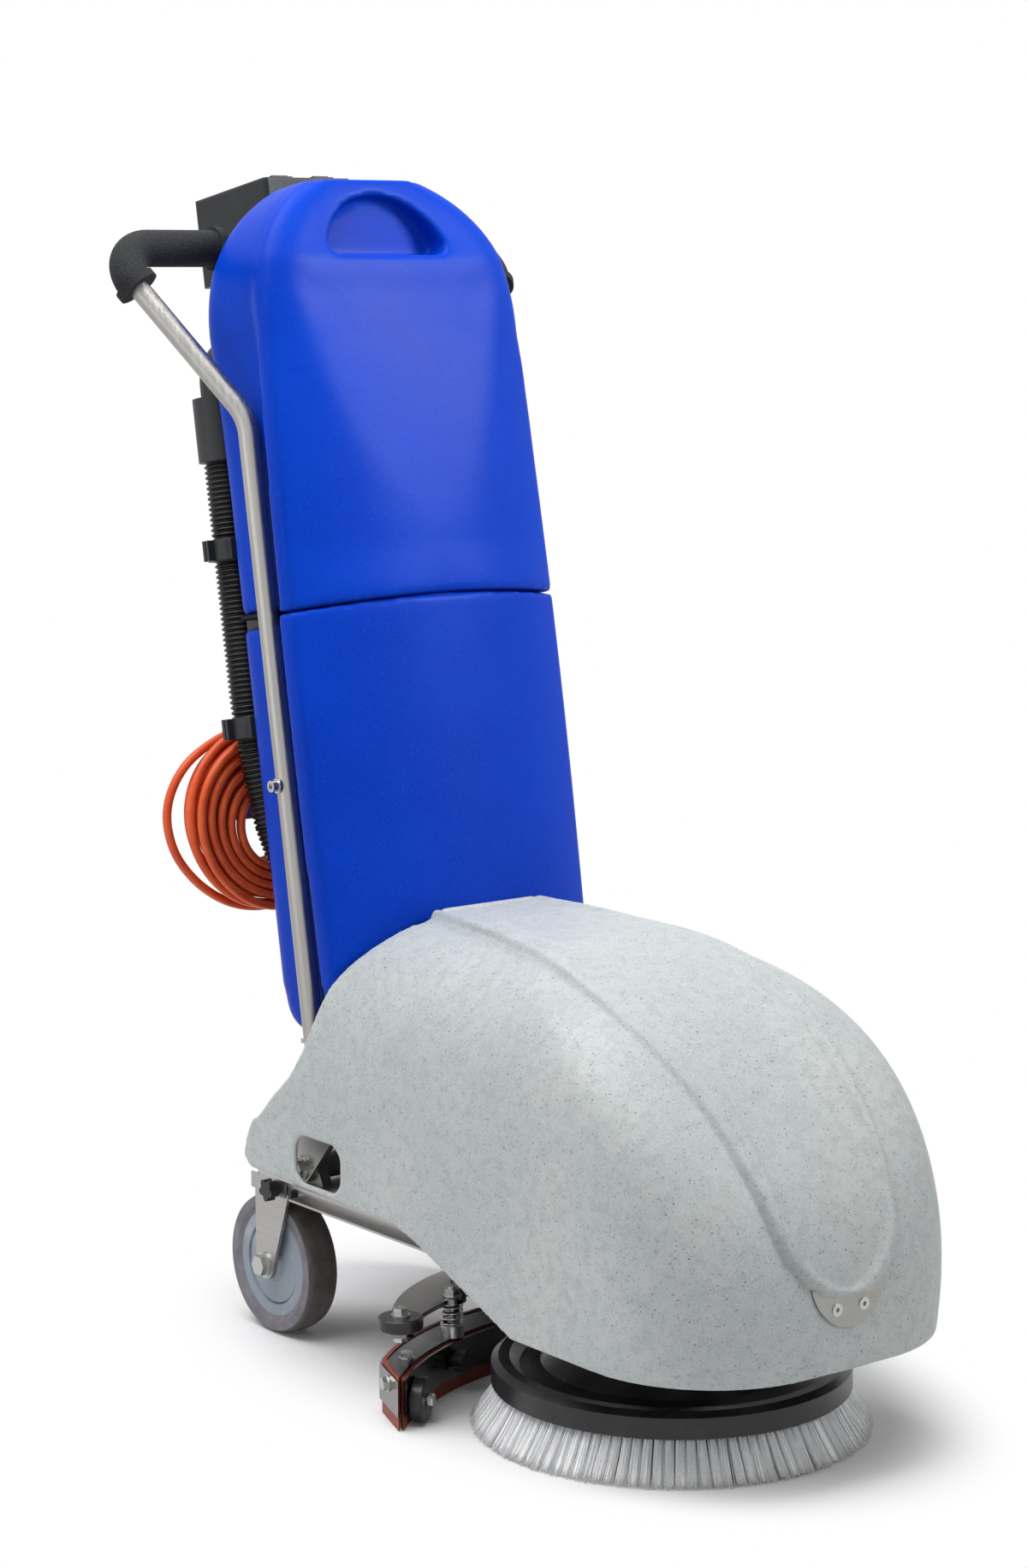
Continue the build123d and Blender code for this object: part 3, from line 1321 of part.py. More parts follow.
# Squeegee: body with its suction chamber and spigot, two blades, steel strips and fasteners
def squeegee_ends(front, rear):
    """Front and rear corners of one end of the squeegee, grown as in its plan."""
    near, far = SQ_FRONT_R - front, SQ_REAR_R + rear
    tip, end = SQ_HALF + rear, SQ_HALF - SQ_TAPER + rear
    tip_y = BRUSH_Y + SQ_FRONT - SQ_FRONT_R + sqrt(near ** 2 - tip ** 2)
    end_y = BRUSH_Y + SQ_REAR - SQ_REAR_R + sqrt(far ** 2 - end ** 2)
    return tip, tip_y, end, end_y


def squeegee_plan(front, rear, z):
    """Plan of the squeegee, grown towards the brush by front and to the sides and rear by rear."""
    tip, tip_y, end, end_y = squeegee_ends(front, rear)
    with BuildSketch(Plane.XY.offset(z)) as plan:
        with BuildLine():
            ThreePointArc((-tip, tip_y), (0, BRUSH_Y + SQ_FRONT - front), (tip, tip_y))
            Line((tip, tip_y), (end, end_y))
            ThreePointArc((end, end_y), (0, BRUSH_Y + SQ_REAR + rear), (-end, end_y))
            Line((-end, end_y), (-tip, tip_y))
        make_face()
    return plan.sketch


def end_plane(side):
    """Plane on the middle of one end of the rear strip, looking outwards."""
    tip, tip_y, end, end_y = squeegee_ends(0, BLADE_T + STRIP_T)
    middle = (side * (tip + end) / 2, (tip_y + end_y) / 2, END_BOLT_Z)
    return Plane(origin=middle, x_dir=(0, 0, 1), z_dir=(side * (end_y - tip_y), tip - end, 0))


def strip_plane(x, z):
    """Plane on the face of the front strip, looking towards the brush."""
    reach = SQ_FRONT_R - BLADE_T - STRIP_T
    turn = sqrt(1 - (x / reach) ** 2)
    y = BRUSH_Y + SQ_FRONT - SQ_FRONT_R + reach * turn
    return Plane(origin=(x, y, z), x_dir=(0, 0, 1), z_dir=(-x / reach, -turn, 0))


def drill(planes, diameter, depth):
    """Holes of one size from a set of planes backwards."""
    for plane in planes:
        with BuildSketch(plane) as hole:
            Circle(diameter / 2)
        extrude(to_extrude=hole.sketch, amount=-depth, mode=Mode.SUBTRACT)


CHAMBER_WALL = 10.0
CLAMP_X = 95.0
CLAMP_Z = 28.0
CLAMP_D = 6.0
CLAMP_KNOB_D = 20.0
TOP_BOLT = (155.0, 153.0)
END_BOLT_Z = 33.0
SUPPORT_X = 166.0
SIDES = (-1, 1)
clamp_planes = [strip_plane(side * CLAMP_X, CLAMP_Z) for side in SIDES]
wheel_planes = [strip_plane(side * SUPPORT_X, ROLLER_D / 2) for side in SIDES]
top_planes = [
    Plane(origin=(side * TOP_BOLT[0], BRUSH_Y + TOP_BOLT[1], SQ_TOP), z_dir=(0, 0, 1))
    for side in SIDES
]
stud_planes = [
    Plane(origin=(side * STUD_X, BRUSH_Y + STUD_Y, SQ_TOP), z_dir=(0, 0, 1)) for side in SIDES
]
end_planes = [end_plane(side) for side in SIDES]
front_planes = clamp_planes + wheel_planes
BOLT_DEEP = BLADE_T + STRIP_T + CHAMBER_WALL - 2
with BuildPart() as squeegee:
    extrude(to_extrude=squeegee_plan(0, 0, SQ_LOW), amount=SQ_TOP - SQ_LOW)
    chamber = squeegee_plan(-CHAMBER_WALL, -CHAMBER_WALL, SQ_LOW)
    extrude(to_extrude=chamber, amount=SQ_TOP - SQ_LOW - 8, mode=Mode.SUBTRACT)
    with BuildSketch(Plane.XY.offset(SQ_TOP - 8)):
        with Locations((0, PORT_Y)):
            Circle(NIPPLE_D / 2)
    extrude(amount=HOSE_END_Z + 24 - SQ_TOP + 8)
    with BuildSketch(Plane.XY.offset(SQ_TOP)):
        with Locations((0, PORT_Y)):
            Circle(NIPPLE_D / 2 + 3)
    extrude(amount=10)
    with BuildSketch(Plane.XY.offset(SQ_LOW)):
        with Locations((0, PORT_Y)):
            Circle(NIPPLE_D / 2 - 2.5)
    extrude(amount=HOSE_END_Z + 24, mode=Mode.SUBTRACT)
    drill(front_planes, CLAMP_D, BOLT_DEEP)
    drill(top_planes, CLAMP_D, 7)
    drill(stud_planes, STUD_D, STUD_INSET)
    drill(end_planes, CLAMP_D, BOLT_DEEP)
finish(squeegee, "squeegee_body")

with BuildPart() as blade_front:
    extrude(to_extrude=squeegee_plan(BLADE_T, 0, 0), amount=SQ_TOP - 2)
    extrude(to_extrude=squeegee_plan(0, 0, 0), amount=SQ_TOP, mode=Mode.SUBTRACT)
    drill(front_planes, CLAMP_D, BOLT_DEEP)
finish(blade_front, "blade_front")

with BuildPart() as blade_rear:
    extrude(to_extrude=squeegee_plan(0, BLADE_T, 0), amount=SQ_TOP + 1)
    extrude(to_extrude=squeegee_plan(0, 0, 0), amount=SQ_TOP + 2, mode=Mode.SUBTRACT)
    drill(end_planes, CLAMP_D, BOLT_DEEP)
finish(blade_rear, "blade_rear")

with BuildPart() as strips:
    extrude(to_extrude=squeegee_plan(BLADE_T + STRIP_T, 0, STRIP_Z), amount=SQ_TOP - 2 - STRIP_Z)
    extrude(to_extrude=squeegee_plan(BLADE_T, 0, 0), amount=SQ_TOP, mode=Mode.SUBTRACT)
    extrude(to_extrude=squeegee_plan(0, BLADE_T + STRIP_T, STRIP_Z), amount=SQ_TOP - 2 - STRIP_Z)
    extrude(to_extrude=squeegee_plan(0, BLADE_T, 0), amount=SQ_TOP, mode=Mode.SUBTRACT)
    drill(front_planes + end_planes, CLAMP_D, BOLT_DEEP)
finish(strips, "squeegee_strips")


def shank(plane, diameter, inward, outward):
    """Round bolt shank through a plane."""
    with BuildSketch(plane.offset(-inward)) as ring:
        Circle(diameter / 2)
    extrude(to_extrude=ring.sketch, amount=inward + outward)


def hex_head(plane, across_corners, height):
    """Hexagon head or nut standing on a plane."""
    with BuildSketch(plane) as ring:
        RegularPolygon(across_corners / 2, 6)
    extrude(to_extrude=ring.sketch, amount=height)


def washer(plane, diameter, height):
    """Round washer or collar standing on a plane."""
    with BuildSketch(plane) as ring:
        Circle(diameter / 2)
    extrude(to_extrude=ring.sketch, amount=height)


WHEEL_OFF = 1.0
with BuildPart() as squeegee_bolts:
    for plane in top_planes + end_planes:
        deep = 7 if plane in top_planes else BOLT_DEEP
        shank(plane, CLAMP_D, deep, 1)
        washer(plane.offset(SEAT), 13, 1.2)
        hex_head(plane.offset(SEAT + 1.2), 11.5, 4.5)
    for plane in wheel_planes:
        shank(plane, CLAMP_D, BOLT_DEEP, ROLLER_W + 2 * WHEEL_OFF)
        washer(plane.offset(SEAT), 10, WHEEL_OFF - RUN_GAP / 2 - SEAT)
        hex_head(plane.offset(ROLLER_W + 2 * WHEEL_OFF), 11.5, 4.5)
finish(squeegee_bolts, "squeegee_bolts")

for plane, tag in zip(wheel_planes, ("left", "right")):
    with BuildPart() as support:
        with BuildSketch(plane.offset(WHEEL_OFF)):
            Circle(ROLLER_D / 2)
            Circle(CLAMP_D / 2 + FIT, mode=Mode.SUBTRACT)
        extrude(amount=ROLLER_W)
        fillet(support.edges().filter_by(GeomType.CIRCLE).group_by(SortBy.RADIUS)[-1], 1.5)
    finish(support, f"support_wheel_{tag}")


def lobed_knob(plane, stem, deep, size):
    """Lobed clamping knob of one size on a plane, with its threaded stem through it."""
    shank(plane, stem, deep, 6)
    washer(plane.offset(SEAT), stem + 5, 4)
    with BuildSketch(plane.offset(4 + SEAT)) as star:
        Circle(0.36 * size)
        with PolarLocations(0.34 * size, 5):
            Circle(0.16 * size)
    extrude(to_extrude=star.sketch, amount=0.42 * size)


with BuildPart() as clamp_knobs:
    for plane in clamp_planes:
        lobed_knob(plane, CLAMP_D, BOLT_DEEP, CLAMP_KNOB_D)
finish(clamp_knobs, "clamp_knobs")

# Spring studs, springs and the crescent carrier that guides the squeegee
SLEEVE_H = 10.0
BUSH_H = 10.0
BUSH_D = SPRING_D - 2 * SPRING_WIRE - 2
FLOAT = 6.0
with BuildPart() as studs:
    for plane in stud_planes:
        shank(plane, STUD_D, STUD_INSET, CARRIER_Z + CARRIER_T - SQ_TOP + 9)
        washer(plane, SPRING_D + 1, SLEEVE_H)
        nut = plane.offset(CARRIER_Z + CARRIER_T - SQ_TOP + RUN_GAP)
        washer(nut, 16, 1)
        hex_head(nut.offset(1), 15, 6)
finish(studs, "spring_studs")


def spring_points(x, y, low, high):
    """Ends of the half turns of one spring, from side to side."""
    halves = 2 * SPRING_TURNS
    ring = (SPRING_D - SPRING_WIRE) / 2
    return [
        Vector(x + (ring if i % 2 == 0 else -ring), y, low + (high - low) * i / halves)
        for i in range(halves + 1)
    ]


with BuildPart() as springs:
    for side in SIDES:
        ends = spring_points(
            side * STUD_X,
            BRUSH_Y + STUD_Y,
            SQ_TOP + SLEEVE_H + SPRING_WIRE / 2,
            CARRIER_Z - SPRING_WIRE / 2,
        )
        with BuildLine() as spring_line:
            Line(ends[0] - Vector(0, SPRING_WIRE, 0), ends[0])
            for index, (here, there) in enumerate(zip(ends, ends[1:])):
                swing = Vector(0, (here - there).length / 2 * (1 if index % 2 == 0 else -1), 0)
                ThreePointArc(here, (here + there) * 0.5 + swing, there)
            Line(ends[-1], ends[-1] + Vector(0, SPRING_WIRE, 0))
        wire = spring_line.wire()
        with BuildSketch(Plane(origin=wire @ 0, z_dir=(0, 1, 0))) as ring:
            Circle(SPRING_WIRE / 2)
        sweep(sections=ring.sketch, path=wire)
    rows = [tuple(wire.position_at(i / 600)) for i in range(601)]
    near = min(dist(a, b) for i, a in enumerate(rows) for b in rows[i + 40:])
    print("spring least gap", round(near - SPRING_WIRE, 2))
finish(springs, "squeegee_springs")

POST_X = 55.0
POST_Y = 213.0
with BuildPart() as carrier:
    with BuildSketch(Plane.XY.offset(CARRIER_Z)):
        with BuildLine():
            outer_y = BRUSH_Y + CARRIER_APEX - CARRIER_R
            inner_y = BRUSH_Y + CARRIER_INNER_APEX - CARRIER_INNER_R
            out_end = outer_y + sqrt(CARRIER_R ** 2 - ROLLER_X ** 2)
            in_end = inner_y + sqrt(CARRIER_INNER_R ** 2 - ROLLER_X ** 2)
            ThreePointArc((-ROLLER_X, out_end), (0, outer_y + CARRIER_R), (ROLLER_X, out_end))
            Line((ROLLER_X, out_end), (ROLLER_X, in_end))
            ThreePointArc((ROLLER_X, in_end), (0, inner_y + CARRIER_INNER_R), (-ROLLER_X, in_end))
            Line((-ROLLER_X, in_end), (-ROLLER_X, out_end))
        make_face()
        with Locations((-ROLLER_X, BRUSH_Y + ROLLER_Y), (ROLLER_X, BRUSH_Y + ROLLER_Y)):
            Circle(11)
        with Locations((-STUD_X, BRUSH_Y + STUD_Y), (STUD_X, BRUSH_Y + STUD_Y)):
            Circle(12)
        with Locations((0, PORT_Y)):
            Circle(HOSE_D / 2 + 8, mode=Mode.SUBTRACT)
    extrude(amount=CARRIER_T)
    with BuildSketch(Plane.XY.offset(CARRIER_Z - BUSH_H)):
        with Locations((-STUD_X, BRUSH_Y + STUD_Y), (STUD_X, BRUSH_Y + STUD_Y)):
            Circle(BUSH_D / 2)
    extrude(amount=BUSH_H)
    with BuildSketch(Plane.XY.offset(CARRIER_Z + CARRIER_T)):
        with Locations((-POST_X, BRUSH_Y + POST_Y), (POST_X, BRUSH_Y + POST_Y)):
            Circle(8)
    extrude(amount=DECK_Z - DECK_T - CARRIER_Z - CARRIER_T)
    drill([plane.offset(CARRIER_Z + CARRIER_T - SQ_TOP) for plane in stud_planes],
          STUD_D + 2 * FIT, CARRIER_T + BUSH_H)
    roller_planes = [
        Plane(origin=(side * ROLLER_X, BRUSH_Y + ROLLER_Y, CARRIER_Z + CARRIER_T), z_dir=(0, 0, 1))
        for side in SIDES
    ]
    drill(roller_planes, STUD_D, CARRIER_T)
finish(carrier, "squeegee_carrier")

# Bumper rollers on the tips of the carrier
for plane, tag in zip(roller_planes, ("left", "right")):
    with BuildPart() as roller:
        with BuildSketch(plane.offset(1)):
            Circle(ROLLER_D / 2)
            Circle(STUD_D / 2 + FIT, mode=Mode.SUBTRACT)
        extrude(amount=ROLLER_W)
        fillet(roller.edges().filter_by(GeomType.CIRCLE).group_by(SortBy.RADIUS)[-1], 2)
    finish(roller, f"bumper_roller_{tag}")

with BuildPart() as roller_bolts:
    for plane in roller_planes:
        shank(plane, STUD_D, CARRIER_T, ROLLER_W + 2)
        washer(plane, 14, 1 - RUN_GAP / 2)
        washer(plane.offset(1 + ROLLER_W + RUN_GAP / 2), 16, 1.4)
        hex_head(plane.offset(ROLLER_W + 2), 13, 6)
        hex_head(plane.offset(-CARRIER_T - 5), 13, 5)
finish(roller_bolts, "roller_bolts")

# Knobs that clamp the wheel forks to the chassis rails
knob_planes = [
    Plane(origin=(side * DECK_HALF, BRUSH_Y + KNOB_Y, KNOB_Z), z_dir=(side, 0, 0)) for side in SIDES
]
for plane, tag in zip(knob_planes, ("left", "right")):
    with BuildPart() as knob:
        lobed_knob(plane.offset(RUN_GAP / 2), KNOB_D, 2, RAIL_KNOB_D)
    finish(knob, f"rail_knob_{tag}")
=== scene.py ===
"""Walk-behind scrubber dryer: finishes, shells, cable, hoses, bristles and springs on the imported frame.

Metres, front towards -Y, +X to the right seen from the front, +Z up, floor at 0.
"""
from math import atan2, cos, degrees, pi, radians, sin, tau
from random import Random

import bmesh
import bpy
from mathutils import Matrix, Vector


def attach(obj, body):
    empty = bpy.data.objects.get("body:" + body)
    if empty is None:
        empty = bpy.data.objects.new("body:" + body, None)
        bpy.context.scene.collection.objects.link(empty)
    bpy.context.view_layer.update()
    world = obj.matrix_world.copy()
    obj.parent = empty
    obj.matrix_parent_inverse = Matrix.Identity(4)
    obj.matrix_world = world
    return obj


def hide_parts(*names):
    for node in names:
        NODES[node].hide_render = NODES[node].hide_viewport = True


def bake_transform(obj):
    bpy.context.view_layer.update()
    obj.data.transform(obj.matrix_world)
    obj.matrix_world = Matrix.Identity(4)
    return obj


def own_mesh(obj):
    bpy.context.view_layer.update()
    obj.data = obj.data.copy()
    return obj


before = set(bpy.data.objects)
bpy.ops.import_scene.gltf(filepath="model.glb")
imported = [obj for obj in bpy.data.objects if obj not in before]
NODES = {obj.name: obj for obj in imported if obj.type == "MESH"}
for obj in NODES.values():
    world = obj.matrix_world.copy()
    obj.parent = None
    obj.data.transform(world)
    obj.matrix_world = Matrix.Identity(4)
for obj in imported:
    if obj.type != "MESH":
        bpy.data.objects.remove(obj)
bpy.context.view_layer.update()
SCENE = bpy.context.scene
SCENE.view_settings.view_transform = "Standard"

# Driving places of the machine, as in the solids
BRUSH_Y = -0.20418
LEAN = radians(10.0)
COLUMN_RUN = 0.262
WHEEL_R = 0.0625
AXLE = Vector((0.0, BRUSH_Y + 0.397, WHEEL_R))
CORD_D = 0.008


def on_column(x, v, w):
    """Point of the leaning column: x across, v back, w up."""
    back = BRUSH_Y + COLUMN_RUN + v * cos(LEAN) + w * sin(LEAN)
    return Vector((x, back, w * cos(LEAN) - v * sin(LEAN)))


# Camera and lamps
def aim(name, data, place, turn):
    """Add a camera or lamp at a place, turned by Euler angles in degrees."""
    thing = bpy.data.objects.new(name, data)
    thing.location = place
    thing.rotation_euler = [radians(a) for a in turn]
    SCENE.collection.objects.link(thing)
    return thing


CAMERA_PLACE = (-1.7549, -2.24528, 0.9308)
CAMERA_TURN = (81.42, 0.0, -37.95)
LENS_LENGTH, SENSOR_HEIGHT = 78.70, 36.0
lens = bpy.data.cameras.new("camera")
lens.sensor_fit = "VERTICAL"
lens.sensor_height = SENSOR_HEIGHT
lens.lens = LENS_LENGTH
SCENE.camera = aim("camera", lens, CAMERA_PLACE, CAMERA_TURN)


def soft_box(name, place, target, size, power, spread=180.0):
    """Large flat lamp that looks at a target, with its beam's angle in degrees."""
    lamp = bpy.data.lights.new(name, "AREA")
    lamp.shape = "RECTANGLE"
    lamp.size, lamp.size_y = size
    lamp.energy = power
    lamp.spread = radians(spread)
    thing = aim(name, lamp, place, (0, 0, 0))
    way = Vector(target) - Vector(place)
    thing.rotation_euler = way.to_track_quat("-Z", "Y").to_euler()


MIDDLE = (0.0, 0.0, 0.5)
BROW = (0.0, 0.0, 1.05)
soft_box("top_light", (-0.70, 0.20, 2.5), MIDDLE, size=(2.1, 2.1), power=71.0)
soft_box("brow_light", (1.67, -1.92, 2.45), BROW, size=(1.5, 1.5), power=7.5, spread=32.0)
soft_box("side_light", (-3.0, 0.5, 1.3), MIDDLE, size=(1.8, 2.0), power=12.0)


# Number helpers
def ease(value, low, high):
    """Smooth step from 0 to 1 between two levels."""
    share = min(max((value - low) / (high - low), 0.0), 1.0)
    return share * share * (3.0 - 2.0 * share)


def along(table, value):
    """Value read from a table of places and values, by straight lines."""
    for (low, first), (high, second) in zip(table, table[1:]):
        if value <= high:
            break
    share = min(max((value - low) / (high - low), 0.0), 1.0)
    return first + (second - first) * share


# Node helpers
def link(tree, socket, value):
    """Set a socket to a value, or join it to another node's output."""
    if isinstance(value, bpy.types.NodeSocket):
        tree.links.new(value, socket)
    elif value is not None:
        socket.default_value = value


def add(tree, kind, inputs=(), out=0, **settings):
    """Add a shader node with its inputs by name or number and return one output."""
    made = tree.nodes.new("ShaderNode" + kind)
    for key, value in settings.items():
        setattr(made, key, value)
    for key, value in dict(inputs).items():
        link(tree, made.inputs[key], value)
    return made.outputs[out]


def math(tree, operation, first, second=None):
    """Arithmetic on one or two values."""
    return add(tree, "Math", {0: first, 1: second}, operation=operation)


def span(tree, value, low, high, to_low=0.0, to_high=1.0):
    """Smooth step of a value between two levels, mapped to a new range."""
    return add(tree, "MapRange", {0: value, 1: low, 2: high, 3: to_low, 4: to_high},
               interpolation_type="SMOOTHSTEP")


def blend(tree, share, first, second):
    """Mix of two colours."""
    return add(tree, "Mix", {0: share, 6: first, 7: second}, out=2, data_type="RGBA")


def noise(tree, place, scale, detail=3.0, rough=0.55):
    """Fractal noise at a scale per metre."""
    return add(tree, "TexNoise", {"Vector": place, "Scale": scale, "Detail": detail,
                                  "Roughness": rough})


def stretch(tree, place, scale):
    """Coordinates scaled axis by axis, for grain that runs one way."""
    return add(tree, "Mapping", {"Vector": place, "Scale": scale})


def axes(tree, place):
    """The three coordinates of a place, by name."""
    made = tree.nodes.new("ShaderNodeSeparateXYZ")
    link(tree, made.inputs[0], place)
    return made.outputs


def relief(tree, height, strength, depth, normal=None):
    """Bump from a height."""
    return add(tree, "Bump", {"Height": height, "Strength": strength, "Distance": depth,
                              "Normal": normal})


def rgb(red, green, blue):
    """Linear colour from 0-255 display values."""
    parts = [c / 255 for c in (red, green, blue)]
    line = [c / 12.92 if c < 0.04045 else ((c + 0.055) / 1.055) ** 2.4 for c in parts]
    return (*line, 1.0)


def surface(name, **sockets):
    """New material: its node tree, its main shader and the object's own coordinates."""
    made = bpy.data.materials.new(name)
    made.use_nodes = True
    tree = made.node_tree
    shader = tree.nodes["Principled BSDF"]
    for key, value in sockets.items():
        shader.inputs[key.replace("_", " ")].default_value = value
    place = add(tree, "TexCoord", out="Object")
    return made, tree, shader.inputs, place


# World and floor
WHITE = (1.0, 1.0, 1.0, 1.0)
FLOOR_PALE = (0.86, 0.86, 0.87, 1.0)
FLOOR_DROP = 0.0004


def seen(tree):
    """1 for rays that show the backdrop: camera, mirror and see-through rays."""
    path = tree.nodes.new("ShaderNodeLightPath").outputs
    mirror = math(tree, "MAXIMUM", path["Is Camera Ray"], path["Is Glossy Ray"])
    return math(tree, "MAXIMUM", mirror, path["Is Transmission Ray"])


def set_world(fill):
    """White to look at, a plain even fill as light."""
    world = bpy.data.worlds.new("studio")
    SCENE.world = world
    world.use_nodes = True
    tree = world.node_tree
    ground = tree.nodes["Background"]
    ground.inputs["Color"].default_value = WHITE
    strength = span(tree, seen(tree), 0.0, 1.0, fill, 1.0)
    tree.links.new(strength, ground.inputs["Strength"])


def make_floor(half, middle, reach, near, far, lift):
    """Pale floor that keeps the shadow round the machine and is plain white far from it.

    The change lies between two multiples of an oval's reach, and lift is a faint glow.
    """
    mesh = bpy.data.meshes.new("floor")
    corners = [(-half, -half, 0), (half, -half, 0), (half, half, 0), (-half, half, 0)]
    mesh.from_pydata(corners, [], [(0, 1, 2, 3)])
    floor = bpy.data.objects.new("floor", mesh)
    floor.location.z = -FLOOR_DROP
    SCENE.collection.objects.link(floor)
    made = bpy.data.materials.new("floor")
    made.use_nodes = True
    tree = made.node_tree
    tree.nodes.remove(tree.nodes["Principled BSDF"])
    place = add(tree, "TexCoord", out="Object")
    shifted = add(tree, "VectorMath", {0: place, 1: (*middle, 0.0)}, operation="SUBTRACT")
    scaled = add(tree, "VectorMath", {0: shifted, 1: (*reach, 1.0)}, operation="DIVIDE")
    ring = add(tree, "VectorMath", {0: scaled}, out="Value", operation="LENGTH")
    shown = seen(tree)
    pale = add(tree, "BsdfDiffuse", {"Color": FLOOR_PALE})
    glow = add(tree, "Emission", {"Color": WHITE, "Strength": math(tree, "MULTIPLY", shown, lift)})
    white = add(tree, "Emission", {"Color": WHITE, "Strength": 1.0})
    shade = add(tree, "AddShader", {0: pale, 1: glow})
    away = math(tree, "MULTIPLY", shown, span(tree, ring, near, far))
    both = add(tree, "MixShader", {0: away, 1: shade, 2: white})
    tree.links.new(both, tree.nodes["Material Output"].inputs["Surface"])
    mesh.materials.append(made)


set_world(fill=0.24)
make_floor(half=9.0, middle=(0.03, -0.03), reach=(0.19, 0.31), near=1.05, far=1.5, lift=0.02)


# Materials
# Painted shade: near-black for the column plates' cross plate, which sits in the dark seam gap between
# the tanks
SEAM_SHADE_BLACK = rgb(22, 24, 30)
SEAM_SHADE_FADE = 0.01


def granite():
    """Grey rotomoulded cover: soft mottle, fine grain and small dark specks."""
    made, tree, shader, place = surface("granite", Specular_IOR_Level=0.3)
    cloud = noise(tree, place, 7.0, 4.0, 0.6)
    base = blend(tree, span(tree, cloud, 0.3, 0.7), rgb(168, 174, 175), rgb(182, 186, 185))
    mottle = noise(tree, place, 95.0, 4.0, 0.65)
    base = blend(tree, span(tree, mottle, 0.38, 0.70, 0.0, 0.65), base, rgb(156, 162, 162))
    grain = noise(tree, place, 620.0, 2.0)
    base = blend(tree, span(tree, grain, 0.45, 0.75, 0.0, 0.7), base, rgb(193, 196, 195))
    fine = noise(tree, place, 430.0, 2.0, 0.6)
    base = blend(tree, span(tree, fine, 0.63, 0.71, 0.0, 0.8), base, rgb(112, 115, 116))
    coarse = noise(tree, stretch(tree, place, (1.0, 1.0, 1.3)), 330.0, 1.0)
    base = blend(tree, span(tree, coarse, 0.70, 0.75, 0.0, 0.75), base, rgb(100, 96, 90))
    link(tree, shader["Base Color"], base)
    link(tree, shader["Roughness"], span(tree, cloud, 0.3, 0.7, 0.46, 0.58))
    peel = relief(tree, noise(tree, place, 240.0, 3.0), 0.10, 0.0008)
    link(tree, shader["Normal"], peel)
    return made


def tank_blue():
    """Royal blue rotomoulded plastic with a soft orange-peel face."""
    made, tree, shader, place = surface("tank_blue", Specular_IOR_Level=0.09)
    cloud = noise(tree, place, 5.0, 3.0)
    base = blend(tree, span(tree, cloud, 0.3, 0.7), rgb(0, 48, 162), rgb(0, 56, 176))
    fleck = noise(tree, place, 420.0, 2.0)
    base = blend(tree, span(tree, fleck, 0.5, 0.8, 0.0, 0.7), base, rgb(2, 68, 190))
    link(tree, shader["Base Color"], base)
    link(tree, shader["Roughness"], span(tree, cloud, 0.3, 0.7, 0.36, 0.44))
    wave = relief(tree, noise(tree, place, 16.0, 2.0), 0.06, 0.01)
    peel = relief(tree, noise(tree, place, 330.0, 3.0), 0.14, 0.0008, wave)
    link(tree, shader["Normal"], peel)
    return made


def steel(name, grain, tone, rough=0.3, lean=0.0, seam_shade_above=None):
    """Brushed stainless steel whose grain runs along the axis with the small scale, leant back.

    Above one height it may be painted near-black: painted shade for a part that sits in a dark gap.
    """
    made, tree, shader, place = surface(name, Metallic=1.0)
    upright = add(tree, "Mapping", {"Vector": place, "Rotation": (lean, 0.0, 0.0)})
    lines = noise(tree, stretch(tree, upright, grain), 1.0, 3.0, 0.6)
    smear = noise(tree, place, 24.0, 3.0)
    dark = tuple(c * 0.86 for c in tone[:3]) + (1.0,)
    base = blend(tree, span(tree, lines, 0.3, 0.75), dark, tone)
    if seam_shade_above is not None:
        # painted shade: near-black above the given height
        black = span(tree, axes(tree, place)["Z"], seam_shade_above, seam_shade_above + SEAM_SHADE_FADE)
        base = blend(tree, black, base, SEAM_SHADE_BLACK)
    link(tree, shader["Base Color"], base)
    fine = span(tree, lines, 0.3, 0.7, rough - 0.05, rough + 0.08)
    link(tree, shader["Roughness"], math(tree, "ADD", fine, span(tree, smear, 0.35, 0.75, 0.0, 0.07)))
    link(tree, shader["Normal"], relief(tree, lines, 0.02, 0.0002))
    return made


def moulded(name, tone, rough=0.42, grain=700.0, depth=0.0004, strength=0.2, level=0.5):
    """Moulded plastic or rubber with a fine texture and faint rubbed patches."""
    made, tree, shader, place = surface(name, Specular_IOR_Level=level)
    patch = noise(tree, place, 30.0, 4.0)
    pale = tuple(min(1.0, c * 1.35 + 0.006) for c in tone[:3]) + (1.0,)
    link(tree, shader["Base Color"], blend(tree, span(tree, patch, 0.45, 0.75), tone, pale))
    link(tree, shader["Roughness"], span(tree, patch, 0.3, 0.7, rough - 0.05, rough + 0.07))
    link(tree, shader["Normal"], relief(tree, noise(tree, place, grain, 3.0), strength, depth))
    return made


def foam():
    """Black foam rubber with small open cells, darker in the cells as painted shade."""
    made, tree, shader, place = surface("foam", Specular_IOR_Level=0.3, Roughness=0.85)
    cells = add(tree, "TexVoronoi", {"Vector": place, "Scale": 620.0}, out="Distance")
    grain = noise(tree, place, 900.0, 3.0)
    pit_shade = span(tree, math(tree, "ADD", cells, math(tree, "MULTIPLY", grain, 0.5)), 0.35, 0.85)
    # painted shade: darker where the cells sink in
    base = blend(tree, pit_shade, rgb(46, 47, 50), rgb(24, 25, 27))
    link(tree, shader["Base Color"], base)
    link(tree, shader["Normal"], relief(tree, pit_shade, 0.5, -0.0008))
    return made


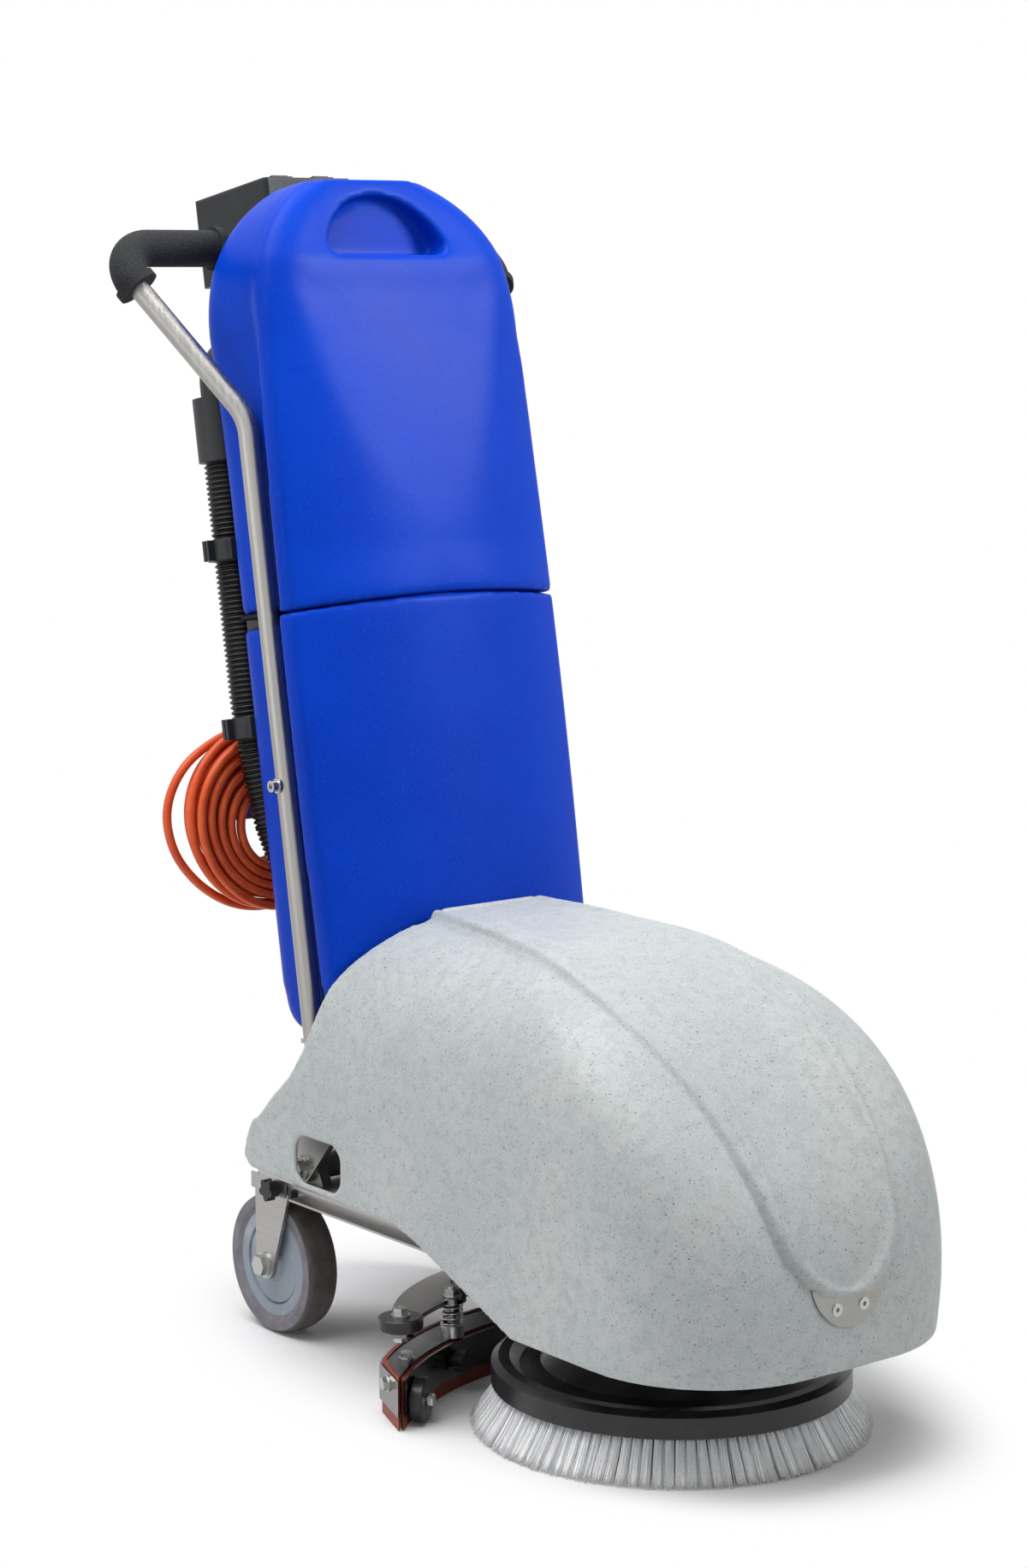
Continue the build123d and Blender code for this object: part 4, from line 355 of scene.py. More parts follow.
def tyre_rubber(side):
    """Grey non-marking tyre: pale worn flanks and a browner, darker tread."""
    made, tree, shader, place = surface(f"tyre_{side}", Specular_IOR_Level=0.3, Roughness=0.7)
    parts = axes(tree, place)
    rise = math(tree, "SUBTRACT", parts["Z"], AXLE.z)
    run = math(tree, "SUBTRACT", parts["Y"], AXLE.y)
    square = math(tree, "ADD", math(tree, "MULTIPLY", rise, rise), math(tree, "MULTIPLY", run, run))
    radius = math(tree, "SQRT", square)
    dust = noise(tree, place, 60.0, 5.0, 0.6)
    edge = math(tree, "ADD", radius, span(tree, dust, 0.2, 0.8, -0.0012, 0.0012))
    tread = span(tree, edge, WHEEL_R - 0.0032, WHEEL_R - 0.0012)
    flank = blend(tree, span(tree, dust, 0.3, 0.7), rgb(108, 107, 113), rgb(126, 124, 130))
    brown = blend(tree, span(tree, dust, 0.3, 0.7), rgb(80, 73, 72), rgb(98, 91, 90))
    link(tree, shader["Base Color"], blend(tree, tread, flank, brown))
    link(tree, shader["Normal"], relief(tree, noise(tree, place, 500.0, 3.0), 0.25, 0.0005))
    return made


def cable_sheath():
    """Orange cable sheath, slightly rubbed."""
    made, tree, shader, place = surface("cable_sheath", Specular_IOR_Level=0.45)
    patch = noise(tree, place, 45.0, 4.0)
    base = blend(tree, span(tree, patch, 0.35, 0.75), rgb(206, 74, 26), rgb(224, 96, 44))
    grime = noise(tree, place, 160.0, 4.0, 0.7)
    base = blend(tree, span(tree, grime, 0.62, 0.8, 0.0, 0.5), base, rgb(150, 58, 28))
    link(tree, shader["Base Color"], base)
    link(tree, shader["Roughness"], span(tree, patch, 0.3, 0.7, 0.42, 0.55))
    link(tree, shader["Normal"], relief(tree, noise(tree, place, 800.0, 2.0), 0.12, 0.0003))
    return made


def nylon():
    """Pale brush filaments: fine lines along each tuft, fading to one slightly darker tone at the block,
    painted shade at the roots.
    """
    made, tree, shader, place = surface("nylon", Roughness=0.5, Specular_IOR_Level=0.4)
    strand = noise(tree, stretch(tree, place, (900.0, 900.0, 60.0)), 1.0, 2.0)
    base = blend(tree, span(tree, strand, 0.35, 0.65), rgb(236, 238, 240), rgb(255, 255, 255))
    # painted shade: a slightly darker tone towards the block
    root_shade = span(tree, axes(tree, place)["Z"], 0.010, 0.036)
    base = blend(tree, root_shade, base, rgb(240, 242, 244))
    link(tree, shader["Base Color"], base)
    link(tree, shader["Normal"], relief(tree, strand, 0.2, 0.0003))
    return made


BRUSHED_UP = (420.0, 420.0, 5.0)
BRUSHED_ACROSS = (12.0, 700.0, 700.0)
BRUSHED_BACK = (700.0, 12.0, 700.0)
STRIP_GRAIN = (20.0, 20.0, 60.0)
FINE_GRAIN = (300.0, 300.0, 300.0)
CAST_GRAIN = (140.0, 140.0, 140.0)
SATIN = (0.40, 0.388, 0.37, 1.0)
GREY_STEEL = (0.44, 0.43, 0.42, 1.0)
# Low tone of the polished squeegee strips and carrier: painted reflection of dark surroundings
DARK_REFLECTION_STEEL = (0.20, 0.195, 0.19, 1.0)
PLATE_GREY = (0.34, 0.33, 0.315, 1.0)
ZINC_GREY = (0.52, 0.52, 0.51, 1.0)
CAST_GREY = (0.10, 0.10, 0.105, 1.0)
SEAM_PLATE_Z = 0.45
GRANITE = granite()
BLUE = tank_blue()
TUBE_STEEL = steel("tube_steel", BRUSHED_UP, SATIN, 0.34, LEAN)
SHEET_STEEL = steel("sheet_steel", BRUSHED_BACK, GREY_STEEL, 0.34)
PLATE_STEEL = steel("plate_steel", BRUSHED_ACROSS, PLATE_GREY, 0.38)
# Column plates: painted shade, near-black above the seam height where the cross plate lies between the
# tanks
COLUMN_STEEL = steel("column_steel", BRUSHED_BACK, GREY_STEEL, 0.34, seam_shade_above=SEAM_PLATE_Z)
STRIP_STEEL = steel("strip_steel", STRIP_GRAIN, DARK_REFLECTION_STEEL, 0.16)
ZINC = steel("zinc", FINE_GRAIN, ZINC_GREY, 0.26)
CAST = steel("cast_alloy", CAST_GRAIN, CAST_GREY, 0.5)
FOAM = foam()
SATIN_BLACK = moulded("satin_black", rgb(33, 33, 36), 0.3, level=0.4)
MATT_BLACK = moulded("matt_black", rgb(36, 37, 40), 0.48, level=0.35)
BOX_BLACK = moulded("box_black", rgb(20, 22, 26), 0.4, 420.0, level=0.25)
HOSE_BLACK = moulded("hose_black", rgb(12, 13, 16), 0.36, 900.0, level=0.3)
HUB_GREY = moulded("hub_grey", rgb(138, 147, 157), 0.5, level=0.3)
GUM = moulded("gum_rubber", rgb(132, 56, 34), 0.55, 600.0)
SHEATH = cable_sheath()
NYLON = nylon()

FINISH = {
    GRANITE: ("cover",),
    BLUE: ("solution_tank", "recovery_tank"),
    TUBE_STEEL: ("handle_frame", "pivot_tube"),
    SHEET_STEEL: ("chassis", "forks", "cord_hook", "pivot_lugs"),
    COLUMN_STEEL: ("column_plates",),
    PLATE_STEEL: ("cover_plate",),
    STRIP_STEEL: ("squeegee_strips", "squeegee_carrier"),
    ZINC: ("axles", "pivot_bolts", "cover_screws", "tube_screws", "squeegee_bolts", "roller_bolts",
           "spring_studs", "drive_shaft", "squeegee_springs"),
    CAST: ("brush_motor", "brush_gearbox"),
    FOAM: ("grips",),
    BOX_BLACK: ("control_box",),
    HUB_GREY: ("wheel_hub_left", "wheel_hub_right"),
    GUM: ("blade_front", "blade_rear"),
    MATT_BLACK: ("filler_cap", "tank_lid", "inlet_elbow", "hose_cuff", "hose_clips", "cord_gland",
                 "cord_plug", "brush_switch", "vacuum_switch", "control_panel", "vacuum_motor",
                 "water_valve", "drive_coupling", "clamp_knobs", "rail_knob_left", "rail_knob_right"),
    SATIN_BLACK: ("brush_block", "squeegee_body", "bumper_roller_left", "bumper_roller_right",
                  "support_wheel_left", "support_wheel_right"),
    HOSE_BLACK: ("suction_hose", "hose_loop"),
    SHEATH: ("cord_lead", "cord_coil", "cord_tail"),
    NYLON: ("bristles",),
    tyre_rubber("left"): ("tyre_left",),
    tyre_rubber("right"): ("tyre_right",),
}


def paint(thing, material):
    """Put one material in every slot of an object."""
    slots = thing.data.materials
    if len(slots) == 0:
        slots.append(material)
    for index in range(len(slots)):
        slots[index] = material


for material, names in FINISH.items():
    for name in names:
        paint(NODES[name], material)


# Mains cable
def smooth_route(name, points):
    """Curve of one open NURBS spline whose control points are the route's points."""
    curve = bpy.data.curves.new(name, "CURVE")
    curve.dimensions = "3D"
    spline = curve.splines.new("NURBS")
    spline.points.add(len(points) - 1)
    for spot, point in zip(spline.points, points):
        spot.co = (*point, 1.0)
    spline.order_u = 3
    spline.use_endpoint_u = True
    spline.resolution_u = 8
    thing = bpy.data.objects.new(name, curve)
    SCENE.collection.objects.link(thing)
    return thing


COIL = Vector((-0.062, BRUSH_Y + 0.490, 0.438))
COIL_R = 0.082
COIL_STEP = 0.005
COIL_DEPTH = 0.010
HALF_TURNS = 10
LAYERS = 4
PER_HALF = 8
SWELL_POWER = 0.75
LOOSE = 0.008
LOOSE_POINTS = 14


def coil_ends():
    """Ends of the half turns, right and left by turns, in and out layer by layer."""
    ends = []
    for layer in range(LAYERS):
        steps = range(HALF_TURNS) if layer % 2 == 0 else reversed(range(HALF_TURNS))
        for step in steps:
            side = 1 if len(ends) % 2 == 0 else -1
            depth = (layer - (LAYERS - 1) / 2) * COIL_DEPTH
            ends.append(COIL + Vector((side * (COIL_R - step * COIL_STEP), depth, 0.0)))
    last = ends[-1]
    ends[-1] = last - Vector((LOOSE, 0.0, 0.0))
    ends.append(Vector((COIL.x + COIL_R + LOOSE + COIL_STEP, last.y, last.z)))
    return ends


def coil_points(ends):
    """Control points round the half turns, a little outside so the line keeps its radius."""
    points = []
    swell = 1.0 / cos(pi / PER_HALF / 2) ** SWELL_POWER
    for index, (here, there) in enumerate(zip(ends, ends[1:])):
        middle = (here + there) / 2
        arm = (here - there).length / 2
        out = (here - middle).normalized()
        down = -1 if index % 2 == 0 else 1
        for step in range(PER_HALF):
            share = (step + 0.5) / PER_HALF
            angle = pi * share
            drift = (there - here).y * share
            spot = middle + (out * cos(angle) + Vector((0, 0, down * sin(angle)))) * arm * swell
            points.append(Vector((spot.x, here.y + drift, spot.z)))
    return points


# How the coil hangs: its pull, by the radius of a turn, and the loose loop's reach, by the angle
UP_LEFT, UP_RIGHT = radians(150.0), radians(35.0)
SAG_OUT, SAG_IN = 0.009, 0.008
GIVE = ((0.036, 0.10), (0.070, 1.0))
LOOP = ((0, 0.0), (45, -0.001), (70, -0.0035), (95, -0.0065), (115, -0.006), (135, 0.001),
        (155, 0.009), (175, 0.008), (195, 0.0), (215, -0.007), (240, -0.0095), (262, -0.006),
        (290, 0.0), (360, 0.0))


def toward(angle):
    """Way from the coil's middle at an angle in its own plane."""
    return Vector((cos(angle), 0.0, sin(angle)))


def hang(points):
    """Let the bundle hang to the upper left of the hook, and its end slip out as a loop."""
    result = []
    for number, spot in enumerate(points):
        across, rise = spot.x - COIL.x, spot.z - COIL.z
        angle = atan2(rise, across)
        if len(points) - number > LOOSE_POINTS:
            give = along(GIVE, (across ** 2 + rise ** 2) ** 0.5)
            pull = SAG_OUT * give * (0.5 + 0.5 * cos(angle - UP_LEFT))
            tuck = SAG_IN * give * (0.5 - 0.5 * cos(angle - UP_RIGHT))
            move = toward(UP_LEFT) * pull + toward(UP_RIGHT) * tuck
        else:
            move = toward(angle) * along(LOOP, degrees(angle) % 360)
        result.append(spot + move)
    return result


ENDS = coil_ends()
GLAND_V = 0.134
GLAND_FOOT = on_column(COIL.x + COIL_R, GLAND_V, 0.943)
COIL_TOP = ENDS[0] + Vector((0.0, 0.0, CORD_D))
LEAD = [
    GLAND_FOOT,
    on_column(COIL.x + COIL_R, GLAND_V, 0.903),
    Vector((0.020, BRUSH_Y + 0.541, 0.821)),
    Vector((0.021, BRUSH_Y + 0.534, 0.763)),
    Vector((0.024, BRUSH_Y + 0.527, 0.704)),
    Vector((0.027, BRUSH_Y + 0.517, 0.645)),
    Vector((0.027, BRUSH_Y + 0.503, 0.587)),
    Vector((0.023, BRUSH_Y + 0.487, 0.534)),
    COIL_TOP + Vector((0.0, 0.0, 0.034)),
    COIL_TOP,
]
COIL_FOOT = ENDS[-1] - Vector((0.0, 0.0, CORD_D))
PLUG_TOP = COIL_FOOT + Vector((0.006, -0.001, -0.150))
TAIL = [
    COIL_FOOT,
    COIL_FOOT - Vector((0.0, 0.0, 0.036)),
    COIL_FOOT + Vector((0.007, -0.003, -0.076)),
    PLUG_TOP + Vector((0.0, 0.0, 0.037)),
    PLUG_TOP,
]
cable = smooth_route("mains_cable", LEAD + hang(coil_points(ENDS)) + TAIL)
cable.data.bevel_depth = CORD_D / 2
cable.data.bevel_resolution = 4
cable.data.use_fill_caps = True
cable.data.materials.append(SHEATH)
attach(cable, "column")
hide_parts("cord_lead", "cord_coil", "cord_tail")


# Swept forms
def mesh_piece(name, points, faces, material):
    """Smooth mesh object from points and faces, with every face turned outwards."""
    mesh = bpy.data.meshes.new(name)
    mesh.from_pydata(points, [], faces)
    work = bmesh.new()
    work.from_mesh(mesh)
    bmesh.ops.recalc_face_normals(work, faces=work.faces)
    work.to_mesh(mesh)
    work.free()
    mesh.polygons.foreach_set("use_smooth", [True] * len(mesh.polygons))
    mesh.materials.append(material)
    thing = bpy.data.objects.new(name, mesh)
    SCENE.collection.objects.link(thing)
    return thing


def curve_line(points, step):
    """Evenly spaced points read from the smooth route through the given points."""
    route = smooth_route("route", points)
    route.data.splines[0].resolution_u = 40
    bpy.context.view_layer.update()
    line = bpy.data.meshes.new_from_object(route)
    spots = [v.co.copy() for v in line.vertices]
    curve = route.data
    bpy.data.objects.remove(route)
    bpy.data.curves.remove(curve)
    bpy.data.meshes.remove(line)
    return even(spots, step)


def even(spots, step):
    """Points at equal steps along a line of points."""
    runs = [(b - a).length for a, b in zip(spots, spots[1:])]
    total = sum(runs)
    count = max(2, round(total / step))
    result = []
    index, passed = 0, 0.0
    for number in range(count + 1):
        want = total * number / count
        while index < len(runs) - 1 and passed + runs[index] < want:
            passed += runs[index]
            index += 1
        share = (want - passed) / runs[index] if runs[index] else 0.0
        result.append(spots[index].lerp(spots[index + 1], min(1.0, share)))
    return result


def rings(line, radii, sides):
    """Rings of points square to a line, turning as little as they can from one to the next."""
    points = []
    way = (line[1] - line[0]).normalized()
    side = way.orthogonal().normalized()
    for index, spot in enumerate(line):
        before = line[max(index - 1, 0)]
        after = line[min(index + 1, len(line) - 1)]
        ahead = (after - before).normalized()
        side = (way.rotation_difference(ahead) @ side).normalized()
        way = ahead
        other = way.cross(side)
        for corner in range(sides):
            angle = tau * corner / sides
            points.append(spot + (side * cos(angle) + other * sin(angle)) * radii[index])
    return points


def skin(count, sides, first=0, loop=False):
    """Quads that join rings of points one after another."""
    faces = []
    for row in range(count if loop else count - 1):
        here, there = first + row * sides, first + (row + 1) % count * sides
        for corner in range(sides):
            beside = (corner + 1) % sides
            faces.append((here + corner, here + beside, there + beside, there + corner))
    return faces


# Moulded shells
COVER_VOXEL, TANK_VOXEL = 0.0020, 0.0024


def freeze(thing):
    """Give an object the mesh that its modifiers make."""
    bpy.context.view_layer.update()
    shaped = thing.evaluated_get(bpy.context.evaluated_depsgraph_get())
    done = bpy.data.meshes.new_from_object(shaped)
    old = thing.data
    thing.modifiers.clear()
    thing.data = done
    bpy.data.meshes.remove(old)


def wear(thing, passes, zone=None):
    """Round off the edges of a shell, all over or where a rule of the place says."""
    round_off = thing.modifiers.new("round_off", "SMOOTH")
    round_off.factor = 0.5
    round_off.iterations = passes
    if zone:
        group = thing.vertex_groups.new(name="zone")
        group.add([spot.index for spot in thing.data.vertices if zone(spot.co)], 1.0, "REPLACE")
        round_off.vertex_group = group.name
    freeze(thing)
    thing.vertex_groups.clear()


def shift(thing, rule):
    """Move each point of a shell by a rule of its place and normal."""
    spots = thing.data.vertices
    moves = [rule(spot.co, spot.normal) for spot in spots]
    for spot, move in zip(spots, moves):
        spot.co += move
    thing.data.update()


def soft_shell(name, node, body, material, voxel, steps):
    """Rotomoulded shell: a copy of the solid's mesh, shaped and worn round step by step.

    A step is a rule for shift, or the number of passes, and the zone if any, for wear.
    """
    thing = bpy.data.objects.new(name, NODES[node].data.copy())
    SCENE.collection.objects.link(thing)
    grid = thing.modifiers.new("grid", "REMESH")
    grid.mode = "VOXEL"
    grid.voxel_size = voxel
    grid.use_smooth_shade = True
    freeze(thing)
    for step in steps:
        if callable(step):
            shift(thing, step)
        else:
            wear(thing, *step)
    thing.data.name = name
    thing.data.materials.clear()
    thing.data.materials.append(material)
    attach(thing, body)
    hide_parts(node)


# Cover: the raised band bows out over the shoulders and narrows to its foot and its rear end.
# Each band's half width is read by the height, or by the height and the way back added up.
TOP_Z = 0.3876
TOP_DEPTH = 0.003
REAR_Y = BRUSH_Y + 0.240
SOLID_RISE = 0.006
BAND_RISE = 0.0044
BEAD = 0.0012
BEAD_START, BEAD_END = (0.0, 0.003), (0.004, 0.011)
OUTWARD = 0.25
SOLID_EDGE, BAND_EDGE = 0.0015, 0.0014
WORN_HALF, WORN_LOW = 0.014, 0.13
NEARBY = 0.002
SOLID_BAND = ((0.155, 0.0), (0.158, 0.020), (0.165, 0.034), (0.183, 0.047), (0.215, 0.0545),
              (0.257, 0.060), (0.432, 0.062))
BAND = ((-0.053, 0.0), (-0.050, 0.014), (-0.045, 0.026), (-0.032, 0.040), (-0.010, 0.053),
        (0.020, 0.060), (0.055, 0.066), (0.100, 0.072), (0.160, 0.077), (0.210, 0.082),
        (0.260, 0.087), (0.310, 0.091), (0.365, 0.091), (0.420, 0.086), (0.475, 0.077),
        (0.530, 0.068), (0.595, 0.061), (0.650, 0.058))


def inside(table, place, x):
    """Distance inside a band's edge, whose half width is read from a table."""
    half = along(table, place)
    slope = (along(table, place + NEARBY) - along(table, place - NEARBY)) / (2 * NEARBY)
    return (half - abs(x)) / (1.0 + slope * slope) ** 0.5


def lower_band(spot, normal):
    """Take the solid's own band down to the cover's face."""
    out = normal.z - normal.y
    if out < OUTWARD:
        drop = min(TOP_Z - spot.z, 0.0) if spot.y > REAR_Y else 0.0
        return Vector((0.0, 0.0, drop))
    share = ease(inside(SOLID_BAND, spot.z, spot.x), -SOLID_EDGE, SOLID_EDGE)
    return normal * (-SOLID_RISE * out * share)


def old_edge(spot):
    """Strip along the edge of the solid's band."""
    return abs(inside(SOLID_BAND, spot.z, spot.x)) < WORN_HALF and spot.z > WORN_LOW


def raise_band(spot, normal):
    """Raise the bowed band, with a bead along its edge."""
    rear = spot.y > REAR_Y and spot.z > TOP_Z - TOP_DEPTH
    if normal.z - normal.y < OUTWARD and not rear:
        return Vector()
    depth = inside(BAND, spot.z + spot.y - BRUSH_Y, spot.x)
    bead = BEAD * ease(depth, *BEAD_START) * (1.0 - ease(depth, *BEAD_END))
    way = Vector((0.0, 0.0, 1.0)) if rear else normal
    return way * (BAND_RISE * ease(depth, -BAND_EDGE, BAND_EDGE) + bead)


soft_shell("cover_shell", "cover", "chassis", GRANITE, COVER_VOXEL,
           ((4,), lower_band, (60, old_edge), raise_band, (1,)))

# Tanks: a barrel front cut by one sloping facet that opens upwards from the seam to the brow.
# CREASES and PLACES give the solid's front by height: half width of its flat, and its set-back.
TANK_FRONT, TANK_CORNER, TANK_STEP = -0.075, -0.042, -0.024
TANK_HALF = 0.1425
BARREL, BARREL_W, DOME_W = 0.010, 0.540, 0.915
CREASES = ((0.285, 0.004), (0.700, 0.004), (0.846, 0.112), (0.879, 0.042), (0.945, 0.092), (1.017, 0.040))
PLACES = ((0.285, 0.0), (0.700, 0.0), (0.846, 0.009), (0.879, 0.013), (0.945, 0.025), (1.017, 0.049))
FACET_LOW, FACET_SLOPE = 0.705, 0.104
FACET_BLEND = 0.004
FACET_BACK, FACET_TOP, FACET_FOOT = (-0.030, -0.005), (0.915, 0.952), (0.655, 0.70)
SIDE_BOW = 0.073
SEAM_W, SEAM_RISE, SEAM_HALF = 0.644, 0.007, 0.1625
SEAM_CLOSE = 0.0026
STRETCH_LOW, STRETCH_HIGH, STEP_EDGE = 0.014, 0.005, 0.001


def to_column(spot):
    """Place on the leaning column: across, back and up."""
    run = spot.y - BRUSH_Y - COLUMN_RUN
    return spot.x, run * cos(LEAN) - spot.z * sin(LEAN), run * sin(LEAN) + spot.z * cos(LEAN)


BACK = on_column(0.0, 1.0, 0.0) - on_column(0.0, 0.0, 0.0)
UP = on_column(0.0, 0.0, 1.0) - on_column(0.0, 0.0, 0.0)


def tank_half(w):
    """Half width of the tanks at one height."""
    return TANK_HALF - BARREL * ((w - BARREL_W) / (DOME_W - BARREL_W)) ** 2


def solid_front(x, w):
    """Front of the solid tank, flat in the middle and bowed to its corners."""
    half, flat = tank_half(w), along(CREASES, w)
    front = TANK_FRONT + along(PLACES, w)
    share = min(max((abs(x) - flat) / (half - flat), 0.0), 1.0)
    bow = 4.0 * SIDE_BOW * (half - flat) * share * (1.0 - share)
    return front + (TANK_CORNER - front) * share - bow


def facet_front(x, w):
    """Barrel front cut by the sloping facet, with a soft edge between them."""
    barrel = TANK_FRONT + (TANK_CORNER - TANK_FRONT) * min(abs(x) / tank_half(w), 1.0) ** 2
    facet = TANK_FRONT + FACET_SLOPE * (w - FACET_LOW)
    gap = barrel - facet
    return 0.5 * (barrel + facet + (gap * gap + FACET_BLEND ** 2) ** 0.5)


def cut_facet(spot, normal):
    """Bring the tank's front to the barrel and its facet."""
    x, v, w = to_column(spot)
    share = (1.0 - ease(v, *FACET_BACK)) * (1.0 - ease(w, *FACET_TOP)) * ease(w, *FACET_FOOT)
    if share == 0.0 or abs(x) > tank_half(w):
        return Vector()
    return BACK * ((facet_front(x, w) - solid_front(x, w)) * share)


def seam_height(x):
    """Height of the arched seam between the tanks."""
    return SEAM_W + SEAM_RISE * (1.0 - (x / SEAM_HALF) ** 2)


def close_seam(spot, normal):
    """Stretch the lower tank's front wall up towards the seam."""
    x, v, w = to_column(spot)
    high = ease(w, seam_height(x) - STRETCH_LOW, seam_height(x) - STRETCH_HIGH)
    front = 1.0 - ease(v, TANK_STEP - STEP_EDGE, TANK_STEP)
    return UP * (SEAM_CLOSE * (high * front))


soft_shell("lower_tank", "solution_tank", "column", BLUE, TANK_VOXEL, (close_seam, (12,)))
soft_shell("upper_tank", "recovery_tank", "column", BLUE, TANK_VOXEL, ((4,), cut_facet, (20,)))

# Seam: a rib of the lower tank shows in front, and a matt black wall, painted shade, closes the wider gap
# behind
LIP_INSET, LIP_THICK, LIP_REACH, LIP_EASE = 0.007, 0.003, 0.004, 0.0075
LIP_HALF = tank_half(SEAM_W) - LIP_INSET
LIP_STEPS = 24
RIB_CORNERS = 4
SHADE_WALL_HALF, SHADE_WALL_REAR, SHADE_WALL_W, SHADE_WALL_REACH = 0.1155, 0.064, 0.6432, 0.0046


def rib(name, trace, material):
    """Upright rib between the tanks, along a trace of places: across, back, up and half height."""
    points = []
    for x, v, w, reach in trace:
        for deep, rise in ((0.0, -reach), (0.0, reach), (LIP_THICK, reach), (LIP_THICK, -reach)):
            points.append(on_column(x * (1.0 - deep / LIP_HALF), v + deep, w + rise))
    faces = skin(len(trace), RIB_CORNERS)
    faces.append(tuple(range(RIB_CORNERS)))
    faces.append(tuple(range(len(points) - RIB_CORNERS, len(points))))
    thing = mesh_piece(name, points, faces, material)
    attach(thing, "column")


def lip_trace():
    """Arched line of the rib, from one side round the tanks' front to the other."""
    first, last = TANK_FRONT + LIP_INSET, TANK_STEP - LIP_EASE
    trace = []
    for step in range(-LIP_STEPS, LIP_STEPS + 1):
        share = step / LIP_STEPS
        x = LIP_HALF * share
        trace.append((x, first + (last - first) * share ** 2, seam_height(x), LIP_REACH))
    return trace


SHADE_WALL_LINE = (
    (-SHADE_WALL_HALF, TANK_STEP),
    (-SHADE_WALL_HALF, SHADE_WALL_REAR),
    (SHADE_WALL_HALF, SHADE_WALL_REAR),
    (SHADE_WALL_HALF, TANK_STEP),
)
rib("seam_lip", lip_trace(), BLUE)
# Matt black wall in the gap behind the seam: painted shade
rib("seam_shade_wall", [(x, v, SHADE_WALL_W, SHADE_WALL_REACH) for x, v in SHADE_WALL_LINE], MATT_BLACK)

# Hoses
HOSE_R = 0.018
HOSE_BORE_R = 0.0135
RIB_PITCH = 0.0046
RIB_DEPTH = 0.0024
PER_RIB = 8
RIB_SHARP = 1.6
HOSE_SIDES = 40


def hose(name, points):
    """Ribbed hose with an open bore, along a smooth route."""
    line = curve_line(points, RIB_PITCH / PER_RIB)
    radii = []
    for index in range(len(line)):
        wave = 0.5 - 0.5 * cos(tau * index / PER_RIB)
        radii.append(HOSE_R - RIB_DEPTH * wave ** RIB_SHARP)
    points = rings(line, radii, HOSE_SIDES)
    bore = rings(line, [HOSE_BORE_R] * len(line), HOSE_SIDES)
    for row in reversed(range(len(line))):
        points += bore[row * HOSE_SIDES:(row + 1) * HOSE_SIDES]
    return mesh_piece(name, points, skin(2 * len(line), HOSE_SIDES, loop=True), HOSE_BLACK)


HOSE_X = -0.098
HOSE_V = 0.099
HOSE_SPLIT = on_column(HOSE_X + 0.012, HOSE_V, 0.470)
NIPPLE = Vector((0.0, BRUSH_Y + 0.2065, 0.092))
upper_hose = hose("upper_hose", [
    on_column(HOSE_X, HOSE_V, 0.805),
    on_column(HOSE_X, HOSE_V, 0.640),
    on_column(HOSE_X, HOSE_V, 0.540),
    HOSE_SPLIT,
])
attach(upper_hose, "column")
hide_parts("suction_hose")
lower_hose = hose("lower_hose", [
    HOSE_SPLIT,
    on_column(HOSE_X + 0.026, HOSE_V, 0.420),
    Vector((-0.040, BRUSH_Y + 0.422, 0.320)),
    Vector((-0.014, BRUSH_Y + 0.340, 0.206)),
    Vector((0.0, BRUSH_Y + 0.2065, 0.194)),
    NIPPLE,
])
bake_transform(lower_hose)
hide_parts("hose_loop")


# Brush filaments
RIM_R = 0.147
REACH_R = 0.1650
ROOT_Z = 0.033
# Rows of tufts: inset from the rim, count, flare, half width at root and tip, loose filaments
TUFTS = (
    (-0.008, 107, 0.0225, 0.0036, 0.0048, 30),
    (-0.024, 84, 0.015, 0.0026, 0.0044, 16),
    (-0.039, 66, 0.006, 0.0024, 0.0034, 10),
    (-0.055, 52, 0.002, 0.0024, 0.0030, 8),
    (-0.071, 40, 0.0, 0.0024, 0.0028, 8),
)
TUFT_RINGS = 7
TUFT_SIDES = 14
TUFT_CORE, TUFT_FLUTE, TUFT_END = 0.84, 0.10, 0.93
TUFT_LEAN = 0.0009
FLARE_POWER = 1.1
STRAND_R = 0.0004
STRAND_SIDES = 4
STRAND_RINGS = 4
STRAND_TAPER = 0.3
STRAND_STRAY = 0.0005
STRAND_RING, STRAND_END = (0.84, 0.98), (0.94, 1.0)


def on_brush(angle, out, side, level):
    """Point beside a radius of the brush."""
    return (out * cos(angle) - side * sin(angle), BRUSH_Y + out * sin(angle) + side * cos(angle), level)


def tuft_place(inset, flare, root, tip, part):
    """Distance out, half width and level of a tuft at a part of its length."""
    out = RIM_R + inset + flare * part ** FLARE_POWER
    wide = root + (tip - root) * part
    return out, wide, ROOT_Z * (1.0 - part)


